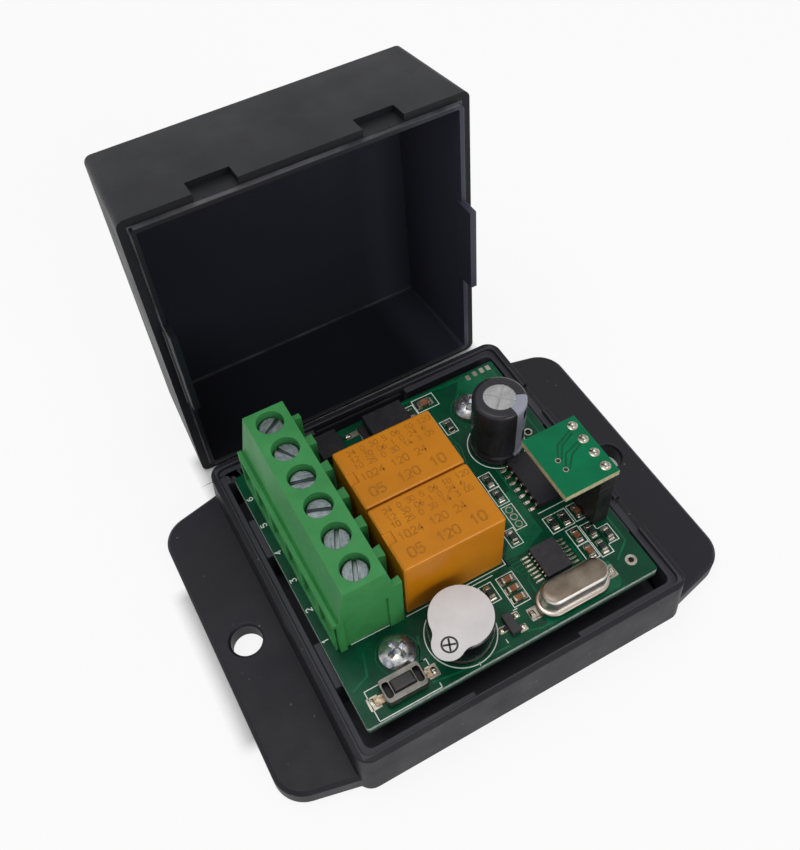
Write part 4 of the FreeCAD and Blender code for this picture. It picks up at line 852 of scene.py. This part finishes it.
UPRIGHT_PARTS = (
    (14.16, -8.78), (15.98, -8.88), (18.03, -12.43), (19.85, -13.95), (17.96, -15.25), (0.56, -13.55),
    (7.93, -7.8), (9.96, 1.87), (9.9, -1.09), (10.05, 13.43), (6.2, 18.6), (18.22, -8.77), (15.91, -12.04),
    (16.04, -14.96))
LYING_PARTS = ((3.65, -16.06), (3.65, -14.53), (3.65, -13.0))
LARGE_PART = (8.9, 19.3)
FLOOR_RISE = 0.008
SMALL_END = dict(pad_out=0.75, half_long=0.42, half_wide=0.5, slope_out=0.79, width=0.8, reach=0.3,
                 height=0.42)
LARGE_END = dict(pad_out=1.02, half_long=0.5, half_wide=0.7, slope_out=1.07, width=1.1, reach=0.35,
                 height=0.42)
PADS = (
    (1.73, -17.9, 0.62, 0.5), (1.72, -19.97, 0.62, 0.5), (-0.71, -18.9, 0.62, 0.5),
    (-20.3, -19.2, 0.8, 0.9), (-11.7, -19.2, 0.8, 0.9), (4.2, -18.95, 0.8, 0.95), (16.5, -18.95, 0.9, 0.95),
    (17.59, 20.22, 0.35, 0.5), (18.95, 20.42, 0.35, 0.5), (20.25, 20.48, 0.35, 0.5),
    (21.4, 20.44, 0.35, 0.5), (-3.6, 19.6, 1.1, 0.5), (-2.1, 18.0, 0.5, 2.3))
HOLES = ((9.95, -6.32, 0.58, 0.42), (9.95, -5.02, 0.58, 0.42), (9.95, -3.74, 0.58, 0.42),
         (20.2, -18.9, 0.85, 0.41), (19.97, 6.5, 0.66, 0.46))

ends = [soldered_end(x, y, angle, **SMALL_END) for x, y in UPRIGHT_PARTS for angle in (270, 90)]
ends += [soldered_end(x, y, angle, **SMALL_END) for x, y in LYING_PARTS for angle in (180, 0)]
ends += [soldered_end(*LARGE_PART, angle, **LARGE_END) for angle in (180, 0)]
for x, y, pitch, width, reach in CHIPS:
    lead_end = dict(pad_out=reach / 2 - 0.315, half_long=0.435, half_wide=width / 2,
                    slope_out=reach / 2 - 0.02, width=width * 0.85, reach=0.16, height=0.18, corner=0.08)
    lines = y + (np.arange(LEADS_A_SIDE) - (LEADS_A_SIDE - 1) / 2) * pitch
    ends += [soldered_end(x, line, angle, **lead_end) for angle in (180, 0) for line in lines]
places, fillets = (list(surfaces) for surfaces in zip(*ends))
for x, y, half_x, half_y in PADS:
    places.append(pad(x, y, half_x, half_y))
for x, y, outer, inner in HOLES:
    places.append(hole_ring(x, y, outer, inner, BOARD))
piece("tinned_places", joined(places), tin)
# Painted shade: dark discs in the holes
floors = [hole_shade_disc(x, y, inner, BOARD, FLOOR_RISE) for x, y, outer, inner in HOLES]
piece("hole_shadows", joined(floors), hole_dark)
piece("solder_fillets", joined(fillets), solder, smooth=50)


def solder_mound(x, y, half_x, half_y, rise, rows=10, count=28):
    """Rounded solder over a tag: an oval dome, height = rise * (1 - t squared) to the power 0.6, with t from
    the rim to the middle and a slow swell round it. The oval is squared off by a norm of power 3."""
    t = np.linspace(1, 0.08, rows)[:, None]
    turn = np.arange(count) * 2 * np.pi / count
    square = (np.abs(np.cos(turn)) ** 3 + np.abs(np.sin(turn)) ** 3) ** (-1 / 3)
    swell = 1 + 0.12 * np.sin(3 * turn + x + y)
    rings = np.empty((rows, count, 3))
    rings[..., 0] = x + t * half_x * np.cos(turn) * square
    rings[..., 1] = y + t * half_y * np.sin(turn) * square
    rings[..., 2] = PAD_TOP + rise * (1 - t ** 2) ** 0.6 * swell
    return poled(rings, (x, y, PAD_TOP), (x, y, PAD_TOP + rise))


# Middle, half sizes and height of each mound

MOUNDS = (
    (-20.45, -19.0, 0.4, 0.5, 0.2), (-11.6, -19.2, 0.45, 0.55, 0.34), (3.95, -18.95, 0.5, 0.7, 0.34),
    (16.75, -18.95, 0.5, 0.7, 0.34), (1.9, -17.95, 0.4, 0.36, 0.2), (1.9, -19.85, 0.4, 0.36, 0.2),
    (-0.9, -18.9, 0.4, 0.36, 0.2), (-4.35, 19.6, 0.6, 0.42, 0.3))
piece("solder_mounds", joined([solder_mound(*row) for row in MOUNDS]), solder, smooth=60)


# Board screws: pan heads with a cross recess

def step_in(distance, limit, slope):
    """1 well inside a limit, falling to 0 at it over a slope."""
    return np.clip((limit - distance) / slope, 0, 1)


def cross_head(x, y, angle, rows=44, count=120):
    """Height over the head = domed crown less the recess. The recess is deepest in the middle, has two arms
    at right angles, and its steep walls follow a smooth step across each arm."""
    head, top, crown_fall, foot, seat, depth = 2.5, 11.3, 1.0, 2.5, 9.5, 1.15
    arm_half, arm_reach, arm_rise = 0.4, 1.42, 0.42
    turn = np.arange(count) * 2 * np.pi / count
    r, a = np.meshgrid(np.linspace(0.03, 1, rows) ** 0.9 * head, turn, indexing="ij")
    crown = top - crown_fall * (r / head) ** 2.8
    u = r * np.cos(a - math.radians(angle))
    v = r * np.sin(a - math.radians(angle))
    recess = step_in(r, 0.72, 0.18) * depth
    for along, across in ((u, v), (v, u)):
        arm = step_in(np.abs(across), arm_half, 0.1)
        arm = arm * arm * (3 - 2 * arm) * step_in(np.abs(along), arm_reach, 0.12)
        recess = np.maximum(recess, arm * (depth - arm_rise * np.abs(along)))
    dome = np.stack([x + r * np.cos(a), y + r * np.sin(a), crown - recess], axis=-1)[::-1]
    profile = ((0.6, foot), (1.25, foot + 0.8), (1.25, seat), (head, seat), (head, seat + 0.5))
    rings = np.concatenate([circles(x, y, profile, count), dome])
    return poled(rings, (x, y, foot), (x, y, top - depth))


piece("board_screw_pair", joined([cross_head(*row) for row in BOARD_SCREWS]), blue_zinc,
      ("board_screws",), 32)


# Terminal block

shell("terminal_housing", terminal_green, 0.09)
paint_node("terminal_contacts", tin)
for number, angle in enumerate(SLOT_ANGLES, 1):
    shell("terminal_screw_%d" % number, screw_material(number, angle), 0.05)
    paint_node("wire_clamp_%d" % number, tin)


# Relays and their pad print: rows of plain numbers, with their place from the middle, size and stroke

RELAY_MARKS = (
    ("24 0 30 5 06 10 120", -5.8, 3.35, 0.82, 0.16), ("12 30 06 1 0 24 6", -5.8, 2.15, 0.82, 0.16),
    ("10 25 0 30 14 3 05", -5.8, 0.95, 0.82, 0.16), ("1024 120 24", -5.8, -1.1, 1.1, 0.2),
    ("05", -5.8, -3.9, 1.45, 0.28), ("120", -1.5, -3.8, 1.35, 0.26), ("10", 3.5, -3.8, 1.45, 0.3))
INK_RISE = 0.012
RELAY_INSIDES = (("base", part_black), ("coil", winding), ("yoke", soft_iron), ("armature", soft_iron),
                 ("contacts", tin))

for number in (1, 2):
    case = "relay_case_%d" % number
    x, y = middle(case)
    top = span(case)[1][2]
    marks = []
    for text, across, along, size, stroke in RELAY_MARKS:
        marks += written(text, x + across, y + along, size, 0, stroke, (top, top + INK_RISE))
    shell(case, relay_finish, 0.1, 3)
    piece("relay_print_%d" % number, joined(marks), relay_print)
    for part, material in RELAY_INSIDES:
        paint_node("relay_%s_%d" % (part, number), material)


# Buzzer and its label

paint_node("buzzer_magnet", soft_iron)
paint_node("buzzer_diaphragm", soft_iron)
shell("buzzer_base", buzzer_black, 0.04)
shell("buzzer_case", buzzer_black, 0.08, 3)

LABEL_LOW, LABEL_ARRIS, LABEL_TOP = 14.70, 14.79, 14.82
TAB_OUT = 4.3


def label_outline(count=180):
    """Edge of the label: the line where the smooth union of the disc and its tab is zero, found along each
    ray from the middle by halving."""
    disc_radius, tab_radius, blend = 4.33, 2.2, 0.9
    aim = math.radians(217.0)
    turn = np.arange(count) * 2 * np.pi / count
    near, far = np.full(count, 3.0), np.full(count, 7.5)
    for _ in range(40):
        half_way = (near + far) / 2
        x, y = half_way * np.cos(turn), half_way * np.sin(turn)
        disc = np.hypot(x, y) - disc_radius
        tab = np.hypot(x - TAB_OUT * math.cos(aim), y - TAB_OUT * math.sin(aim)) - tab_radius
        overlap = np.maximum(blend - np.abs(disc - tab), 0) / blend
        field = np.minimum(disc, tab) - overlap * overlap * blend / 4
        near = np.where(field < 0, half_way, near)
        far = np.where(field < 0, far, half_way)
    return np.column_stack([BUZZER[0] + near * np.cos(turn), BUZZER[1] + near * np.sin(turn)])


outline = label_outline()
centre = outline.mean(axis=0)
label = stack([at_height(outline, LABEL_LOW), at_height(outline, LABEL_ARRIS),
               at_height(centre + (outline - centre) * 0.995, LABEL_TOP)])
piece("buzzer_sticker", label, label_white, ("buzzer_label",))

MARK_TURN = math.radians(219)
MARK_X = BUZZER[0] + TAB_OUT * math.cos(MARK_TURN)
MARK_Y = BUZZER[1] + TAB_OUT * math.sin(MARK_TURN)
MARK_HEIGHTS = (LABEL_TOP - 0.002, LABEL_TOP + INK_RISE)
MARK_ARM = 0.86
plus_mark = [band(circle(MARK_X, MARK_Y, 1.02, 48), 0.26, MARK_HEIGHTS, closed=True)]
for turn in (math.radians(70), math.radians(160)):
    ends = [(MARK_X + arm * math.cos(turn), MARK_Y + arm * math.sin(turn)) for arm in (-MARK_ARM, MARK_ARM)]
    plus_mark.append(band(ends, 0.27, MARK_HEIGHTS))
piece("sticker_plus_mark", joined(plus_mark), label_ink)


# Capacitor

shell("capacitor_sleeve", sleeve_film, 0.05, 2, 40.0)
shell("capacitor_can", can_silver, 0.04, 2, 25.0)
paint_node("capacitor_bung", bung_rubber)
COLLAR_OUTER, COLLAR_INNER, COLLAR_LOW, COLLAR_HEIGHT = 2.95, 2.4, 21.165, 0.15
collar = hole_ring(*CAPACITOR, COLLAR_OUTER, COLLAR_INNER, COLLAR_LOW, COLLAR_HEIGHT, 64)
piece("sleeve_collar", collar, sleeve_film)


# Radio board on its socket

shell("receiver_socket", part_black, 0.08)
shell("receiver_header", part_black, 0.08)
paint_node("receiver_chip", chip_black)
paint_node("receiver_pins", tin)


def solder_cone(x, y, low, rows=9):
    """Solder drawn up round a pin: its radius falls as a hollow curve while the height rises."""
    foot, neck, tip, rise = 0.74, 0.34, 0.26, 0.4
    s = np.linspace(0, 1, rows)
    slope = np.column_stack([neck + (foot - neck) * (1 - s) ** 2.2, low + rise * s])
    return turned(np.vstack([(0.0, low), slope, (tip, low + rise + 0.1), (0.0, low + rise + 0.14)]), x, y, 28)


VIAS = ((15.0, -6.75), (15.1, -8.45))
VIA_OUTER, VIA_INNER, VIA_FLOOR_RISE = 0.4, 0.27, 0.01
RADIO_TRACK = (RADIO_TOP + 0.002, RADIO_TOP + 0.014)
RADIO_LINES = (((15.0, -6.75), (16.4, -4.6), (19.3, -3.4)), ((15.1, -8.45), (16.6, -6.3), (19.2, -5.5)),
               ((15.5, -6.9), (16.9, -5.0), (19.3, -3.9)), ((15.6, -8.6), (17.2, -6.9), (19.2, -6.0)))
pin_rows = HEADER[1] + (np.arange(4) - 1.5) * HEADER_PITCH
cones = [solder_cone(HEADER[0], y, RADIO_TOP) for y in pin_rows]
piece("radio_pin_solder", joined(cones), solder, smooth=60)
via_rings = [hole_ring(x, y, VIA_OUTER, VIA_INNER, RADIO_TOP) for x, y in VIAS]
piece("radio_vias", joined(via_rings), tin)
# Painted shade: dark discs in the via holes
via_floors = [hole_shade_disc(x, y, VIA_INNER, RADIO_TOP, VIA_FLOOR_RISE) for x, y in VIAS]
piece("radio_via_hole_shadows", joined(via_floors), hole_dark)
radio_tracks = [band(line, WIDE_TRACK, RADIO_TRACK) for line in RADIO_LINES]
piece("radio_tracks", joined(radio_tracks), radio_track)


# Crystal

def racetrack(spread, z):
    """Ring of the can at one height: a straight-sided oval grown by a spread."""
    half_x, half_y = 5.1 + spread, 1.85 + spread
    return at_height(rounded(*CRYSTAL, half_x, half_y, half_y - 0.01, 14), z)


def crystal_can():
    """Can from its flange up: the spread follows a rolled flange, an upright wall and a round top edge."""
    top, round_edge = 13.4, 0.55
    shoulder = top - 0.6
    steps = [(0.38, 10.1), (0.48, 10.16), (0.5, 10.3), (0.48, 10.5), (0.4, 10.6), (0.16, 10.62),
             (0.04, 10.68), (0.0, 10.85), (0.0, shoulder)]
    turn = np.linspace(0, np.pi / 2, 8)[1:]
    steps += [(-round_edge * (1 - math.cos(a)), shoulder + round_edge * math.sin(a)) for a in turn]
    steps += [(-0.75, top - 0.015), (-1.1, top), (-1.5, top)]
    return stack([racetrack(spread, z) for spread, z in steps])


piece("crystal_case", crystal_can(), crystal_finish, ("crystal_can",), 50)
paint_node("crystal_base", tin)


# Chips and small parts

for part, material, edge in (("controller_chip", chip_black, 0.03), ("driver_chip", driver_black, 0.04),
                             ("transistor", chip_black, 0.03), ("regulator", driver_black, 0.08),
                             ("rectifier", driver_black, 0.08), ("chip_leads", lead_tin, 0.025),
                             ("chip_resistors", dark_ceramic, 0.03), ("chip_capacitors", brown_ceramic, 0.04),
                             ("chip_ends", solder, 0.05)):
    shell(part, material, edge)


# Push button

shell("switch_frame", switch_steel, 0.06)
shell("switch_button", button_black, 0.05)
paint_node("switch_base", part_black)
paint_node("switch_dome", tin)
shell("switch_terminals", flux_tin, 0.04)


# Stage, light and camera: the floor and the lamps are given in metres, and the camera in millimetres

LAMPS = (("overhead", (-0.1, 0.05, 0.6), (0.0, 0.0, 0.0), 0.45, 1.3),
         ("front_fill", (0.12, -0.58, 0.32), (0.0, 0.0, 0.01), 0.35, 1.28))
# Middle and half sizes, in millimetres, of the floor's shaded places: behind the base, under the right
# ear's hole and along the left ear
SHADED = (((0.0, 28.5), (25.0, 5.5)), ((30.9, 0.0), (3.0, 3.0)), ((-35.9, 0.0), (0.3, 12.0)))
FLOOR_GLOW = 0.86
FOCAL_PIXELS = 976.947
PICTURE = (800, 850)
PICTURE_CENTRE = (396.118, 393.243)
SENSOR = 36.0
CAMERA_PLACE = (-35.291, -62.890, 131.580)
CAMERA_RIGHT = (0.876656, -0.479375, -0.040905)
CAMERA_UP = (0.400022, 0.679012, 0.615568)
CAMERA_AIM = (0.267313, 0.556005, -0.787021)


def seen_directly(tree):
    """1 for rays from the camera and for mirrored or transmitted ones."""
    path = node(tree, "LightPath", {}).outputs
    first = calc(tree, "MAXIMUM", path["Is Camera Ray"], path["Is Glossy Ray"])
    return calc(tree, "MAXIMUM", first, path["Is Transmission Ray"])


def shade_box(tree, place, centre, half):
    """1 within a rectangle of the floor, fading over two millimetres outside it."""
    fade = 2.0
    masks = []
    for axis, at, reach in zip(place, centre, half):
        offset = calc(tree, "ABSOLUTE", calc(tree, "SUBTRACT", axis, at))
        masks.append(remap(tree, offset, reach + fade, reach))
    return times(tree, *masks)


def lay_floor():
    """White floor that keeps a soft shadow, with plain shade where the object stands close to it."""
    far, level = 3.0, -0.0001
    corners = [(-far, -far, level), (far, -far, level), (far, far, level), (-far, far, level)]
    floor = bpy.data.meshes.new("floor")
    floor.from_pydata(corners, [], [(0, 1, 2, 3)])
    new_object("floor", floor)
    material = bpy.data.materials.new("floor_white")
    material.use_nodes = True
    tree = material.node_tree
    shader = tree.nodes["Principled BSDF"]
    shader.inputs["Base Color"].default_value = (0.8, 0.8, 0.8, 1)
    shader.inputs["Roughness"].default_value = 0.8
    place = split(tree, place_mm(tree))
    shaded = shade_box(tree, place, *SHADED[0])
    for centre, half in SHADED[1:]:
        shaded = calc(tree, "MAXIMUM", shaded, shade_box(tree, place, centre, half))
    shine = node(tree, "Emission", {"Color": (1, 1, 1, 1), "Strength": 1.0})
    share = times(tree, seen_directly(tree), FLOOR_GLOW, calc(tree, "SUBTRACT", 1.0, shaded))
    mix = node(tree, "MixShader", {0: share, 1: shader.outputs[0], 2: shine.outputs[0]})
    feed(tree, tree.nodes["Material Output"].inputs["Surface"], mix.outputs[0])
    floor.materials.append(material)


def light_stage():
    """Plain studio light: a white world and two disc lamps."""
    world = bpy.data.worlds.new("studio")
    bpy.context.scene.world = world
    world.use_nodes = True
    tree = world.node_tree
    background = tree.nodes["Background"]
    background.inputs["Color"].default_value = (1, 1, 1, 1)
    feed(tree, background.inputs["Strength"], remap(tree, seen_directly(tree), 0.0, 1.0, 0.5, 1.0))
    for name, place, aim, size, power in LAMPS:
        lamp = bpy.data.lights.new(name, "AREA")
        lamp.shape = "DISK"
        lamp.size = size
        lamp.energy = power
        light = new_object(name, lamp)
        light.location = place
        light.rotation_euler = (Vector(aim) - Vector(place)).to_track_quat("-Z", "Y").to_euler()


def set_camera():
    """The photograph's camera, with its centre off the picture's middle."""
    width, height = PICTURE
    lens = bpy.data.cameras.new("camera")
    lens.sensor_width = SENSOR
    lens.lens = FOCAL_PIXELS * SENSOR / height
    lens.shift_x = (width / 2 - PICTURE_CENTRE[0]) / height
    lens.shift_y = (PICTURE_CENTRE[1] - height / 2) / height
    lens.clip_start = 0.005
    lens.clip_end = 20.0
    camera = new_object("camera", lens)
    turn = Matrix((CAMERA_RIGHT, CAMERA_UP, -Vector(CAMERA_AIM))).transposed().to_4x4()
    camera.matrix_world = Matrix.Translation(Vector(CAMERA_PLACE) * MM) @ turn
    bpy.context.scene.camera = camera
    bpy.context.scene.view_settings.view_transform = "Standard"


lay_floor()
light_stage()
set_camera()
